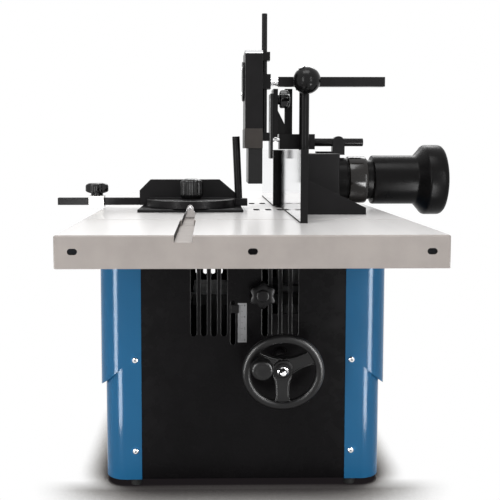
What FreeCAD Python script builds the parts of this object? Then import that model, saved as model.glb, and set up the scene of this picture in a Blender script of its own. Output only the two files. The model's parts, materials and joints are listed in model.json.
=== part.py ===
"""Bench-top spindle moulder with a height-adjusted spindle, split fence, hold-down and mitre gauge.

Frame: X from the operator's side (-) to the dust port (+), Y along the fence, Z up.
The origin lies on the floor, under the middle of the cabinet.
"""
import FreeCAD, Part
import os
import re
import Sketcher

SIZES = {
    # General fits
    "overrun": 2.0,
    "running_gap": 0.05,
    "sliding_gap": 0.3,
    "screw_gap": 0.2,
    # Cabinet
    "cabinet_length": 460.0,
    "cabinet_width": 494.0,
    "cabinet_height": 452.0,
    "waist_recess": 8.5,
    "waist_height": 172.0,
    "waist_slope_rise": 40.0,
    "corner_radius": 36.0,
    "sheet_wall": 1.5,
    "cover_flange": 72.5,
    "panel_lap": 14.0,
    "foot_height": 12.0,
    "foot_radius": 11.0,
    "bench_bolt_radius": 3.3,
    "tray_wall": 3.0,
    "tray_edge_gap": 1.0,
    "post_leg": 30.0,
    "post_wall": 3.0,
    "screw_head_radius": 5.4,
    "screw_head_height": 3.2,
    "screw_radius": 2.5,
    "screw_length": 12.0,
    "screw_inset": 10.5,
    "screw_low_height": 62.0,
    "screw_mid_rise": 49.0,
    "screw_top_drop": 52.0,
    # Vents and height window in the end panels
    "vent_width": 9.9,
    "vent_pitch": 17.3,
    "vent_length": 148.0,
    "far_vent_length": 115.0,
    "vent_drop": 42.0,
    "vent_left_start": -85.0,
    "vent_right_start": 36.5,
    "window_width": 8.4,
    "window_x": -17.9,
    "window_length": 75.0,
    "window_drop": 130.0,
    "scale_width": 15.0,
    "scale_length": 68.0,
    "scale_wall": 0.8,
    "scale_gap": 4.0,
    # Tables
    "table_side_overhang": 18.0,
    "table_skirt": 45.0,
    "table_plate": 14.0,
    "table_wall": 8.0,
    "table_edge_round": 2.0,
    "main_overhang": 47.5,
    "wing_length": 228.0,
    "slot_setback": 212.5,
    "slot_width": 19.6,
    "slot_depth": 9.5,
    "wing_slot_width": 25.0,
    "wing_slot_depth": 9.7,
    "end_hole_inset": 25.0,
    "end_hole_length": 13.4,
    "end_hole_width": 8.4,
    "end_hole_drop": 22.0,
    "bolt_radius": 4.0,
    "bolt_head_radius": 7.0,
    "bolt_head_height": 5.5,
    "seam_bolt_inset": 40.0,
    # Table insert
    "spindle_x": 120.0,
    "insert_width": 166.0,
    "insert_length": 236.0,
    "insert_setback": 28.0,
    "insert_depth": 6.0,
    "insert_ledge": 10.0,
    "insert_hole_radius": 48.0,
    "insert_slot_length": 36.0,
    "insert_slot_width": 12.0,
    "insert_slot_pitch": 22.4,
    "insert_near_row": 72.0,
    "insert_far_row": 96.0,
    "insert_slot_setback": 89.0,
    # Lift carriage and columns
    "sleeve_radius": 60.0,
    "sleeve_step": 12.0,
    "carriage_drop": 146.0,
    "carriage_plate": 20.0,
    "carriage_half_depth": 82.0,
    "carriage_back_margin": 30.0,
    "column_radius": 11.0,
    "column_boss_radius": 18.0,
    "column_boss_length": 60.0,
    "column_setback": 73.0,
    "column_y": 62.0,
    "nut_arm_rise": 10.0,
    "nut_arm_height": 20.0,
    "nut_boss_half": 18.0,
    "nut_arm_clearance": 8.0,
    # Lead screw, wheel shaft and their bracket
    "screw_setback": 80.0,
    "lead_screw_radius": 8.0,
    "wheel_setback": 58.0,
    "wheel_standoff": 60.0,
    "wheel_height": 217.0,
    "wheel_tilt": 12.0,
    "shaft_radius": 7.0,
    "gear_inner_reach": 10.0,
    "gear_outer_reach": 24.0,
    "gear_mesh_angle": 1.2,
    "shaft_bush_radius": 13.0,
    "bush_outer_reach": 10.0,
    "bush_inner_reach": 12.0,
    "bracket_wall": 6.0,
    "bracket_half_width": 34.0,
    "bracket_drop": 31.0,
    "bracket_rise": 83.0,
    "bracket_arm_drop": 21.0,
    "bracket_arm_height": 14.0,
    "bracket_arm_half": 15.0,
    # Handwheel
    "wheel_radius": 60.0,
    "rim_radius": 7.4,
    "hub_radius": 17.0,
    "hub_front": 10.0,
    "hub_back": 16.0,
    "hub_dish": 16.0,
    "spoke_width": 22.0,
    "spoke_thickness": 8.0,
    "crank_angle": 208.0,
    "crank_reach": 41.0,
    "crank_pin_radius": 4.0,
    "crank_boss_radius": 11.0,
    "crank_foot": 8.0,
    "crank_length": 31.0,
    "crank_radius": 17.5,
    "crank_neck_radius": 10.6,
    "acorn_radius": 9.0,
    "acorn_height": 8.0,
    "acorn_dome_height": 7.0,
    "acorn_dome_radius": 6.5,
    # Height lock and pointer
    "lock_x": 31.0,
    "lock_drop": 116.0,
    "lock_stud_radius": 4.0,
    "lock_stud_length": 34.0,
    "lock_boss_radius": 14.0,
    "lock_boss_height": 12.0,
    "lock_lobe_ring": 16.8,
    "lock_lobe_radius": 6.5,
    "lock_thickness": 15.0,
    "lock_cap_radius": 9.0,
    "lock_cap_height": 3.0,
    "pointer_width": 6.0,
    "pointer_head_width": 13.0,
    "pointer_head_height": 14.0,
    "pointer_wall": 2.0,
    # Motor, belt and spindle
    "motor_setback": 170.0,
    "motor_radius": 70.0,
    "motor_clearance": 14.0,
    "motor_boss_radius": 34.0,
    "motor_boss_height": 10.0,
    "motor_shaft_radius": 9.5,
    "motor_shaft_reach": 30.0,
    "pulley_clearance": 73.0,
    "pulley_height": 24.0,
    "motor_pulley_radius": 36.0,
    "spindle_pulley_radius": 24.0,
    "pulley_rim": 3.0,
    "pulley_rim_height": 3.0,
    "belt_thickness": 4.0,
    "quill_radius": 45.0,
    "quill_clearance": 16.0,
    "quill_drop": 12.0,
    "quill_bore": 22.0,
    "quill_collar_radius": 66.0,
    "quill_collar_height": 12.0,
    "bearing_radius": 31.0,
    "bearing_height": 18.0,
    "spindle_radius": 15.0,
    "spindle_tail": 6.0,
    "spindle_rise": 90.0,
    "spindle_flange_radius": 22.0,
    "spindle_flange_rise": 6.0,
    "spindle_flange_height": 22.0,
    "spindle_thread_length": 30.0,
    "ring_radius": 21.0,
    "spindle_nut_radius": 23.0,
    "spindle_nut_height": 18.0,
    "foot_taper_share": 0.85,
    "motor_fin_count": 20,
    "motor_fin_depth": 3.0,
    "motor_fin_width": 4.0,
    "motor_fin_margin": 24.0,
    # Fence plates and their base
    "fence_setback": 38.0,
    "fence_plate_wall": 11.5,
    "fence_height": 113.0,
    "fence_reach": 344.0,
    "fence_gap_half": 26.0,
    "outfeed_offset": 12.0,
    "fence_base_wall": 6.0,
    "fence_base_half": 185.0,
    "fence_base_step": 4.0,
    "throat_half": 62.0,
    "throat_bridge": 8.0,
    "fence_slot_y": 135.0,
    "fence_slot_length": 62.0,
    "fence_bolt_low": 30.0,
    "fence_bolt_drop": 29.0,
    "gusset_wall": 6.0,
    "gusset_height": 67.0,
    "gusset_toe": 12.0,
    "gusset_length": 134.0,
    # Extraction hood and dust adapter
    "hood_half": 100.0,
    "hood_step": 7.0,
    "hood_depth": 102.0,
    "hood_wall": 3.0,
    "dust_axis_lift": 1.0,
    "dust_spigot_length": 7.0,
    "dust_collar_length": 66.0,
    "dust_collar_margin": 6.5,
    "dust_neck_length": 12.0,
    "dust_neck_step": 7.5,
    "dust_pipe_length": 87.0,
    "dust_pipe_step": 1.5,
    "dust_cone_length": 12.0,
    "dust_rim_length": 40.0,
    "dust_rim_wall": 18.7,
    "dust_rim_round": 8.0,
    "dust_wall": 3.0,
    "hose_step": 2.0,
    # Guard
    "guard_y": 10.0,
    "guard_bar_radius": 8.0,
    "guard_bar_rise": 14.0,
    "guard_bar_overhang": 63.0,
    "ear_overhang": 14.0,
    "ear_foot_length": 30.0,
    "ear_foot_wall": 4.0,
    "ear_radius": 12.0,
    "ear_half": 9.0,
    "arm_clearance": 4.0,
    "foot_overhang": 2.0,
    "foot_length": 70.0,
    "arm_half": 14.0,
    "arm_lift": 1.0,
    "arm_height": 30.0,
    "leg_setback": 12.0,
    "leg_width": 15.0,
    "leg_offset": 4.0,
    "leg_height": 90.0,
    "flange_wall": 9.0,
    "flange_near": -24.0,
    "flange_far": 24.0,
    "flange_drop": 6.0,
    "flange_height": 87.0,
    "web_wall": 6.0,
    "web_height": 52.0,
    "web_reach": 26.0,
    "visor_wall": 5.0,
    "visor_height": 126.0,
    "visor_drop": 9.0,
    "guard_knob_y": -6.0,
    "guard_knob_drop": 20.0,
    "guard_knob_radius": 13.0,
    "guard_lobe_radius": 6.0,
    "guard_knob_depth": 24.0,
    "guard_stud_radius": 3.0,
    # Hold-down
    "hold_y": -36.0,
    "hold_post_setback": 42.5,
    "hold_post_radius": 9.6,
    "hold_head_half": 15.0,
    "hold_head_depth": 26.0,
    "cross_bar_size": 18.0,
    "cross_bar_rise": 137.0,
    "cross_bar_gap": 26.5,
    "cross_bar_tail": 153.5,
    "ball_radius": 25.8,
    "ball_stud_radius": 6.0,
    "ball_stud_length": 12.0,
    "upright_reach": 34.5,
    "upright_radius": 5.2,
    "upright_rise": 129.0,
    "upright_drop": 113.0,
    "clamp_wall": 6.0,
    "clamp_height": 28.0,
    "clamp_neck_radius": 4.0,
    "clamp_ring_radius": 7.5,
    "shoe_housing_reach": 38.5,
    "shoe_housing_near": -78.0,
    "shoe_housing_far": 18.0,
    "shoe_housing_height": 183.0,
    "shoe_housing_rise": 56.0,
    "shoe_housing_bevel": 6.0,
    "shoe_housing_wall": 6.0,
    "lug_height": 16.0,
    "lug_wall": 5.0,
    "shoe_reach": 67.0,
    "shoe_height": 96.0,
    "shoe_room": 42.0,
    # Mitre gauge
    "gauge_pivot_y": -60.0,
    "gauge_bar_width": 19.0,
    "gauge_bar_height": 9.0,
    "gauge_bar_near": -145.0,
    "gauge_bar_far": 180.0,
    "gauge_base_half": 96.0,
    "gauge_base_near": -138.0,
    "gauge_base_far": -6.0,
    "gauge_base_wall": 6.0,
    "gauge_base_bevel": 2.0,
    "gauge_dial_radius": 84.0,
    "gauge_dial_far": -37.0,
    "gauge_dial_height": 14.0,
    "gauge_fence_half": 100.5,
    "gauge_fence_y": -30.0,
    "gauge_fence_wall": 14.0,
    "gauge_fence_top": 56.0,
    "gauge_fence_shoulder": 35.0,
    "gauge_fence_bevel": 21.0,
    "gauge_slope_start": 54.0,
    "gauge_toe_height": 10.0,
    "gauge_knob_radius": 20.0,
    "gauge_knob_rib": 1.6,
    "gauge_knob_height": 38.0,
    "gauge_knob_dome": 6.0,
    "gauge_stud_radius": 5.0,
    "stop_rod_size": 14.0,
    "stop_rod_length": 158.0,
    "stop_rod_lift": 0.3,
    "stop_block_offset": 183.5,
    "stop_block_half": 14.5,
    "stop_block_depth": 26.0,
    "stop_block_foot": 2.0,
    "stop_block_cap": 4.0,
    "stop_knob_ring": 13.7,
    "stop_lobe_radius": 8.5,
    "stop_knob_height": 24.0,
    "stop_stud_radius": 3.0,
    "clamp_post_radius": 7.2,
    "clamp_post_length": 118.0,
    "clamp_post_lean": -2.6,
    "clamp_post_offset": 101.5,
    "clamp_lug_half": 11.0,
    "clamp_lug_height": 14.0,
    # Switch and cable inlet
    "switch_near": 70.0,
    "switch_far": 150.0,
    "switch_height": 90.0,
    "switch_drop": 62.0,
    "switch_depth": 20.0,
    "switch_wall": 3.0,
    "switch_round": 4.0,
    "button_radius": 10.0,
    "button_pitch": 34.0,
    "button_proud": 5.0,
    "button_flange": 2.0,
    "gland_radius": 9.0,
    "gland_length": 12.0,
    "gland_bore": 4.0,
    "gland_y": 120.0,
    "gland_height": 60.0,
    "knob_round_share": 0.85,
    "guard_slot_length": 50.0,
    "clamp_trim": 6.0,
}

# Sizes and places that follow the driving ones
FOLLOWING = {
    # Cabinet and table
    "table_top": "cabinet_height + table_plate",
    "table_width": "cabinet_width + 2 * table_side_overhang",
    "main_length": "cabinet_length + 2 * main_overhang",
    "panel_view_width": "cabinet_width - 2 * cover_flange",
    "end_hole_spacing": "table_width / 2 - end_hole_inset",
    "seam_bolt_spacing": "end_hole_spacing - seam_bolt_inset",
    "screw_mid_height": "waist_height + screw_mid_rise",
    "screw_top_height": "cabinet_height - screw_top_drop",
    "vent_top": "cabinet_height - vent_drop",
    "window_top": "cabinet_height - window_drop",
    "window_bottom": "window_top - window_length",
    "lock_height": "cabinet_height - lock_drop",
    "switch_top": "cabinet_height - switch_drop",
    "switch_bottom": "switch_top - switch_height",
    # Places across the cabinet that keep their distance from the spindle
    "slot_x": "spindle_x - slot_setback",
    "insert_x": "spindle_x - insert_setback",
    "insert_slot_x": "spindle_x - insert_slot_setback",
    "motor_x": "spindle_x - motor_setback",
    "column_x": "spindle_x - column_setback",
    "wheel_x": "spindle_x - wheel_setback",
    "fence_face_x": "spindle_x - fence_setback",
    "clamp_post_x": "slot_x + clamp_post_offset",
    "stop_block_x": "slot_x - stop_block_offset",
    # Heights of the works
    "carriage_top": "cabinet_height - carriage_drop",
    "column_boss_bottom": "carriage_top - column_boss_length",
    "pulley_bottom": "foot_height + tray_wall + pulley_clearance",
    "motor_bottom": "pulley_bottom + pulley_height + motor_clearance",
    "quill_bottom": "pulley_bottom + pulley_height + quill_clearance",
    "sleeve_bottom": "quill_bottom + sleeve_step",
    "nut_arm_bottom": "sleeve_bottom + nut_arm_rise",
    "quill_top": "cabinet_height - quill_drop",
    "spindle_bottom": "pulley_bottom - spindle_tail",
    "spindle_flange_bottom": "quill_top + spindle_flange_rise",
    "spindle_top": "table_top + spindle_rise",
    "bracket_bottom": "wheel_height - bracket_drop",
    "bracket_top": "wheel_height + bracket_rise",
    "bracket_arm_bottom": "wheel_height - bracket_arm_drop",
    "wheel_y": "-cabinet_length / 2 - wheel_standoff",
    "screw_y": "cabinet_length / 2 - screw_setback",
    "hub_face": "hub_dish - hub_front",
    "hub_end": "hub_dish + hub_back",
    "crank_seat": "hub_dish * (1 - crank_reach / wheel_radius)",
    # Fence, hood and dust adapter
    "hood_height": "fence_height - hood_step",
    "fence_base_height": "fence_height - fence_base_step",
    "throat_height": "fence_base_height - throat_bridge",
    "fence_bolt_high": "fence_height - fence_bolt_drop",
    "hood_rear": "fence_face_x + hood_depth",
    "gusset_reach": "fence_face_x + gusset_length",
    "dust_axis_height": "hood_height / 2 + dust_axis_lift",
    "dust_collar_radius": "hood_height / 2 - dust_collar_margin",
    "dust_neck_radius": "dust_collar_radius - dust_neck_step",
    "dust_pipe_radius": "dust_collar_radius + dust_pipe_step",
    "hose_radius": "dust_pipe_radius + hose_step",
    "dust_rim_radius": "hose_radius + dust_rim_wall",
    # Guard and hold-down
    "arm_front": "fence_face_x - outfeed_offset - arm_clearance",
    "foot_front": "fence_face_x - foot_overhang",
    "arm_back": "foot_front + foot_length",
    "leg_front": "foot_front + leg_setback",
    "arm_bottom": "table_top + fence_height + arm_lift",
    "leg_top": "arm_bottom + arm_height + leg_height",
    "flange_top": "arm_bottom + arm_height + flange_height",
    "visor_top": "flange_top - visor_drop",
    "visor_bottom": "visor_top - visor_height",
    "guard_knob_height": "flange_top - guard_knob_drop",
    "guard_bar_height": "arm_bottom + guard_bar_rise",
    "ear_x": "hood_rear + ear_overhang",
    "guard_bar_end": "hood_rear + guard_bar_overhang",
    "hold_post_x": "fence_face_x + hold_post_setback",
    "upright_x": "fence_face_x - upright_reach",
    "cross_bar_front": "upright_x + cross_bar_gap",
    "cross_bar_end": "hold_post_x + cross_bar_tail",
    "cross_bar_height": "table_top + hood_height + cross_bar_rise",
    "upright_top": "cross_bar_height + upright_rise",
    "upright_bottom": "cross_bar_height - upright_drop",
    "shoe_housing_front": "upright_x - shoe_housing_reach",
    "shoe_housing_top": "cross_bar_height + shoe_housing_rise",
    "shoe_housing_bottom": "shoe_housing_top - shoe_housing_height",
    "shoe_bottom": "shoe_housing_bottom - shoe_reach",
}

doc = FreeCAD.newDocument("spindle_moulder")
sheet = doc.addObject("Spreadsheet::Sheet", "dims")
NODES = []


def fill_sheet():
    """Write one named cell for each driving size, then one formula for each size that follows."""
    cells = [(name, str(size)) for name, size in SIZES.items()]
    cells += [(name, "=" + formula) for name, formula in FOLLOWING.items()]
    for row, (name, content) in enumerate(cells, 1):
        sheet.set(f"A{row}", name)
        sheet.setAlias(f"B{row}", name)
        sheet.set(f"B{row}", content)
    doc.recompute()


def known(name):
    """True for a name that has a cell in the sheet."""
    return name in SIZES or name in FOLLOWING


def scoped(text):
    """Point every size named in an expression at its cell."""
    return re.sub(r"[a-z_][a-z_0-9]*", lambda word: "dims." + word[0] if known(word[0]) else word[0],
                  text)


def value(text):
    """Work out an expression of named sizes as a number."""
    return float(sheet.evalExpression(scoped(text)))


def bind(item, **links):
    """Bind an object's properties to expressions of named sizes."""
    for name, text in links.items():
        item.setExpression(name, scoped(text))
    return item


def place(item, x="0", y="0", z="0"):
    """Bind the three coordinates of an object's placement."""
    for axis, text in zip("xyz", (x, y, z)):
        item.setExpression("Placement.Base." + axis, scoped(text))
    return item


def turn(item, axis, angle):
    """Turn an object about a row axis by an expression in degrees."""
    unit = {"x": (1, 0, 0), "y": (0, 1, 0), "z": (0, 0, 1)}[axis]
    item.Placement = FreeCAD.Placement(FreeCAD.Vector(), FreeCAD.Rotation(FreeCAD.Vector(*unit), 1))
    item.setExpression("Placement.Rotation.Angle", scoped(angle))
    return item


def box(x, y, z):
    """A box between the two expressions of each axis."""
    item = doc.addObject("Part::Box", "box")
    for name, (low, high) in zip(("Length", "Width", "Height"), (x, y, z)):
        item.setExpression(name, scoped(f"({high}) - ({low})"))
    return place(item, x[0], y[0], z[0])


def rod(axis, span, radius, centre):
    """A cylinder along a row axis; centre gives the other two coordinates in X, Y, Z order."""
    item = bind(doc.addObject("Part::Cylinder", "rod"), Radius=radius,
                Height=f"({span[1]}) - ({span[0]})")
    return lay(item, axis, span[0], centre)


def cone(axis, span, radii, centre):
    """A cone along a row axis between two radii."""
    item = bind(doc.addObject("Part::Cone", "cone"), Radius1=radii[0], Radius2=radii[1],
                Height=f"({span[1]}) - ({span[0]})")
    return lay(item, axis, span[0], centre)


def lay(item, axis, start, centre):
    """Lay a round solid, made along Z, along another axis."""
    if axis == "x":
        return place(turn(item, "y", "90"), start, *centre)
    if axis == "y":
        return place(turn(item, "x", "-90"), centre[0], start, centre[1])
    return place(item, centre[0], centre[1], start)


def fuse(*items):
    """Join solids into one."""
    item = doc.addObject("Part::MultiFuse", "fuse")
    item.Shapes = list(items)
    item.Refine = True
    return item


def cut(base, *tools):
    """Take tools away from a solid."""
    item = doc.addObject("Part::Cut", "cut")
    item.Base = base
    item.Tool = tools[0] if len(tools) == 1 else group(*tools)
    item.Refine = True
    return item


def common(base, tool):
    """Keep what two solids share."""
    item = doc.addObject("Part::Common", "common")
    item.Base = base
    item.Tool = tool
    return item


def group(*items):
    """Several separate solids in one node."""
    item = doc.addObject("Part::Compound", "group")
    item.Links = list(items)
    return item


def rounded(base, radius, wanted):
    """Round the edges that a test picks, by one named radius."""
    doc.recompute()
    item = doc.addObject("Part::Fillet", "rounded")
    item.Base = base
    size = value(radius)
    item.Edges = [(number, size, size) for number, edge in enumerate(base.Shape.Edges, 1) if wanted(edge)]
    return item


def bevelled(base, size, wanted):
    """Bevel the edges that a test picks, by one named size."""
    doc.recompute()
    item = doc.addObject("Part::Chamfer", "bevelled")
    item.Base = base
    leg = value(size)
    item.Edges = [(number, leg, leg) for number, edge in enumerate(base.Shape.Edges, 1) if wanted(edge)]
    return item


def runs_along(edge, axis):
    """True for a straight edge along a row axis."""
    if edge.Curve.TypeId != "Part::GeomLine":
        return False
    return abs(abs(edge.Curve.Direction.dot(FreeCAD.Vector(*axis))) - 1) < 1e-6


def near(number, text):
    """True where a coordinate equals an expression of named sizes."""
    return abs(number - value(text)) < 1e-4


def sketch_on(body, plane_role, outline):
    """A closed outline of straight lines, each corner bound to a pair of expressions."""
    sketch = body.newObject("Sketcher::SketchObject", "outline")
    plane = next(item for item in body.Origin.OriginFeatures if item.Role == plane_role)
    sketch.AttachmentSupport = [(plane, "")]
    sketch.MapMode = "FlatFace"
    corners = [FreeCAD.Vector(value(u), value(v), 0) for u, v in outline]
    count = len(corners)
    for index in range(count):
        sketch.addGeometry(Part.LineSegment(corners[index], corners[(index + 1) % count]))
    for index in range(count):
        sketch.addConstraint(Sketcher.Constraint("Coincident", index, 2, (index + 1) % count, 1))
    for index, (corner, texts) in enumerate(zip(corners, outline)):
        for kind, number, text in zip(("DistanceX", "DistanceY"), corner, texts):
            datum = sketch.addConstraint(Sketcher.Constraint(kind, -1, 1, index, 1, number))
            sketch.setExpression(f"Constraints[{datum}]", scoped(text))
    return sketch


def turned(outline):
    """A turned piece about its own Z axis; the outline gives radius and height."""
    body = doc.addObject("PartDesign::Body", "turned")
    sketch = sketch_on(body, "XZ_Plane", outline)
    feature = body.newObject("PartDesign::Revolution", "revolution")
    feature.Profile = sketch
    feature.ReferenceAxis = (sketch, ["V_Axis"])
    feature.Angle = 360
    return body


def padded(plane_role, outline, length):
    """An outline padded to both sides of its plane by an expression."""
    body = doc.addObject("PartDesign::Body", "padded")
    sketch = sketch_on(body, plane_role, outline)
    feature = body.newObject("PartDesign::Pad", "pad")
    feature.Profile = sketch
    feature.Midplane = True
    bind(feature, Length=length)
    return body


def oblong(axis, span, width, length, along, centre):
    """A round-ended slot cutter: two rods and the block between their axes."""
    reach = f"(({length}) - ({width})) / 2"
    names = [name for name in "xyz" if name != axis]
    slide = names.index(along)
    ends = []
    for sign in ("-", "+"):
        point = list(centre)
        point[slide] = f"({point[slide]}) {sign} {reach}"
        ends.append(rod(axis, span, f"({width}) / 2", point))
    spans = {axis: span}
    for index, name in enumerate(names):
        half = reach if index == slide else f"({width}) / 2"
        spans[name] = (f"({centre[index]}) - {half}", f"({centre[index]}) + {half}")
    return fuse(box(spans["x"], spans["y"], spans["z"]), *ends)


def node(name, item):
    """Name a finished sub-part; the name is also its file's."""
    item.Label = name
    NODES.append(item)
    return item


fill_sheet()


def cover_block(inset):
    """The wide upper part over the recessed lower part, both moved in by the sheet's inset."""
    ends = (f"-cabinet_length / 2 + {inset}", f"cabinet_length / 2 - {inset}")
    tall = ("foot_height", "cabinet_height")
    half = "cabinet_width / 2"
    upper = box(("0", f"{half} - {inset}"), ends, tall)
    lower = box(("0", f"{half} - waist_recess - {inset}"), ends, tall)
    radius = f"corner_radius - {inset}"
    forms = []
    for form, reach in ((upper, f"{half} - {inset}"), (lower, f"{half} - waist_recess - {inset}")):
        forms.append(rounded(form, radius, lambda edge, reach=reach: runs_along(edge, (0, 0, 1))
                             and near(edge.CenterOfMass.x, reach)))
    corner = f"{half} - corner_radius - waist_recess"
    top = "cabinet_height + overrun"
    side = padded("XZ_Plane", [
        (corner, f"waist_height + waist_slope_rise + {inset}"),
        (f"{half}", f"waist_height + {inset}"),
        (f"{half} + overrun", f"waist_height + {inset}"),
        (f"{half} + overrun", top),
        (corner, top),
    ], "cabinet_length + 2 * overrun")
    return fuse(common(forms[0], side), forms[1])


def build_cover(name, angle):
    """A blue wrap-round cover: sheet on three sides, open towards the cabinet."""
    shell = cut(cover_block("0"), cover_block("sheet_wall"))
    hollow = box(("-overrun", "panel_view_width / 2"),
                 ("-cabinet_length / 2 - overrun", "cabinet_length / 2 + overrun"),
                 ("foot_height - overrun", "cabinet_height + overrun"))
    holes = [rod("y", (f"{sign}cabinet_length / 2 - 2 * overrun",
                       f"{sign}cabinet_length / 2 + 2 * overrun"),
                 "screw_radius + screw_gap", ("panel_view_width / 2 + screw_inset", height))
             for sign in ("-", "") for height in SCREW_HEIGHTS]
    node(name, turn(cut(shell, hollow, *holes), "z", angle))


SCREW_HEIGHTS = ("screw_low_height", "screw_mid_height", "screw_top_height")
SCREW_X = "panel_view_width / 2 + screw_inset"
PANEL_FACE = "cabinet_length / 2 - sheet_wall"
NEAR_VENTS = (("vent_left_start", "vent_right_start"), "vent_length")
FAR_VENTS = (("vent_left_start",), "far_vent_length")


def build_panel(name, sign):
    """A black end panel behind the cover flanges; the near one has both groups of vent slots."""
    faces = sorted((f"{sign}({PANEL_FACE})", f"{sign}({PANEL_FACE} - sheet_wall)"), key=value)
    through = (f"{faces[0]} - overrun", f"{faces[1]} + overrun")
    plate = box(("-panel_view_width / 2 - panel_lap - screw_inset",
                 "panel_view_width / 2 + panel_lap + screw_inset"),
                faces, ("foot_height + tray_wall", "cabinet_height"))
    groups, tall = NEAR_VENTS if sign == "-" else FAR_VENTS
    slots = []
    for start in groups:
        for index in range(4):
            middle = f"({start}) + {index} * vent_pitch"
            slots.append(oblong("y", through, "vent_width", tall, "z",
                                [middle, f"vent_top - {tall} / 2"]))
    holes = [rod("y", through, "screw_radius + screw_gap", (side + f"({SCREW_X})", height))
             for side in ("-", "") for height in SCREW_HEIGHTS]
    extra = []
    if sign == "-":
        extra.append(oblong("y", through, "window_width", "window_top - window_bottom", "z",
                            ["window_x", "(window_top + window_bottom) / 2"]))
        extra.append(tilted_shaft("shaft_bush_radius + screw_gap", "-bush_outer_reach",
                                  "bush_inner_reach"))
        centre = ("lock_x", "lock_height")
        boss = rod("y", (f"{faces[0]} - lock_boss_height", faces[1]), "lock_boss_radius", centre)
        plate = fuse(cut(plate, *slots), boss)
        slots = [rod("y", (f"{faces[0]} - lock_boss_height - overrun", through[1]),
                     "lock_stud_radius + running_gap", centre)]
    node(name, cut(plate, *slots, *holes, *extra))


def build_posts():
    """Four steel angles that join the covers, panels and tray and carry the table."""
    posts = []
    inner = f"{PANEL_FACE} - sheet_wall"
    start = "panel_view_width / 2 - post_wall"
    for side in ("-", ""):
        for end in ("-", ""):
            legs = [(("0", "post_leg"), ("0", "post_wall")), (("0", "post_wall"), ("0", "post_leg"))]
            solids = []
            for across, deep in legs:
                xs = sorted((f"{side}({start} + {across[0]})", f"{side}({start} + {across[1]})"),
                            key=value)
                ys = sorted((f"{end}({inner} - {deep[0]})", f"{end}({inner} - {deep[1]})"), key=value)
                solids.append(box(xs, ys, ("foot_height + tray_wall", "cabinet_height")))
            holes = [rod("y", sorted((f"{end}({inner} + overrun)",
                                      f"{end}({inner} - post_wall - overrun)"), key=value),
                         "screw_radius + screw_gap",
                         (f"{side}({SCREW_X})", height)) for height in SCREW_HEIGHTS]
            posts.append(cut(fuse(*solids), *holes))
    node("corner_posts", group(*posts))


def build_cover_screws():
    """Dome-headed silver screws through flange, panel and post."""
    screws = []
    for end, angle in (("-", "90"), ("", "-90")):
        for side in ("-", ""):
            for height in SCREW_HEIGHTS:
                screw = turned([("0", "-screw_length"), ("screw_radius", "-screw_length"),
                                ("screw_radius", "0"),
                                ("screw_head_radius", "0"),
                                ("screw_head_radius", "screw_head_height / 3"),
                                ("screw_head_radius / 2", "screw_head_height"),
                                ("0", "screw_head_height")])
                screws.append(place(turn(screw, "x", angle), f"{side}({SCREW_X})",
                                    f"{end}cabinet_length / 2", height))
    node("cover_screws", group(*screws))


def build_base():
    """Sheet tray under the cabinet and its four rubber feet."""
    edge = "cabinet_width / 2 - waist_recess - sheet_wall - tray_edge_gap"
    end = "cabinet_length / 2 - sheet_wall - tray_edge_gap"
    tray = box((f"-({edge})", edge), (f"-({end})", end), ("foot_height", "foot_height + tray_wall"))
    tray = rounded(tray, "corner_radius - sheet_wall", lambda line: runs_along(line, (0, 0, 1)))
    feet = []
    holes = []
    for side in ("-", ""):
        for front in ("-", ""):
            spot = (f"{side}({SCREW_X})", f"{front}(cabinet_length / 2 - foot_radius - post_wall)")
            hole = rod("z", ("-overrun", "foot_height + tray_wall + overrun"), "bench_bolt_radius", spot)
            foot = cone("z", ("0", "foot_height"), ("foot_radius * foot_taper_share", "foot_radius"),
                        spot)
            feet.append(cut(foot, hole))
            holes.append(hole)
    node("base_tray", cut(tray, *holes))
    node("rubber_feet", group(*feet))


def build_scale():
    """Height scale plate on the near panel, beside the pointer window."""
    left = "window_x + window_width / 2 + scale_gap"
    face = f"-({PANEL_FACE})"
    plate = box((left, f"{left} + scale_width"), (f"{face} - scale_wall", face),
                ("window_bottom + scale_gap", "window_bottom + scale_gap + scale_length"))
    node("height_scale", plate)


TABLE_HALF = "table_width / 2"
MAIN_HALF = "main_length / 2"
HOLE_HEIGHT = "table_top - end_hole_drop"
END_SPOTS = ("-end_hole_spacing", "0", "end_hole_spacing")
SEAM_SPOTS = ("-seam_bolt_spacing", "0", "seam_bolt_spacing")


def table_casting(low, high, slot_width, slot_depth, low_spots, high_spots):
    """A plate with a skirt all round, a gauge slot on top and oblong holes in both ends."""
    block = box((f"-{TABLE_HALF}", TABLE_HALF), (low, high), ("table_top - table_skirt", "table_top"))
    block = bevelled(block, "table_edge_round", lambda edge: runs_along(edge, (0, 0, 1))
                     or near(edge.CenterOfMass.z, "table_top"))
    hollow = box((f"-{TABLE_HALF} + table_wall", f"{TABLE_HALF} - table_wall"),
                 (f"{low} + table_wall", f"{high} - table_wall"),
                 ("table_top - table_skirt - overrun", "table_top - table_plate"))
    slot = box((f"slot_x - {slot_width} / 2", f"slot_x + {slot_width} / 2"),
               (f"{low} - overrun", f"{high} + overrun"),
               (f"table_top - {slot_depth}", "table_top + overrun"))
    holes = []
    for end, spots in (((f"{low} - overrun", f"{low} + table_wall + overrun"), low_spots),
                       ((f"{high} - table_wall - overrun", f"{high} + overrun"), high_spots)):
        for spot in spots:
            holes.append(oblong("y", end, "end_hole_width", "end_hole_length", "x", [spot, HOLE_HEIGHT]))
    return cut(block, hollow, slot, *holes)


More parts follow.
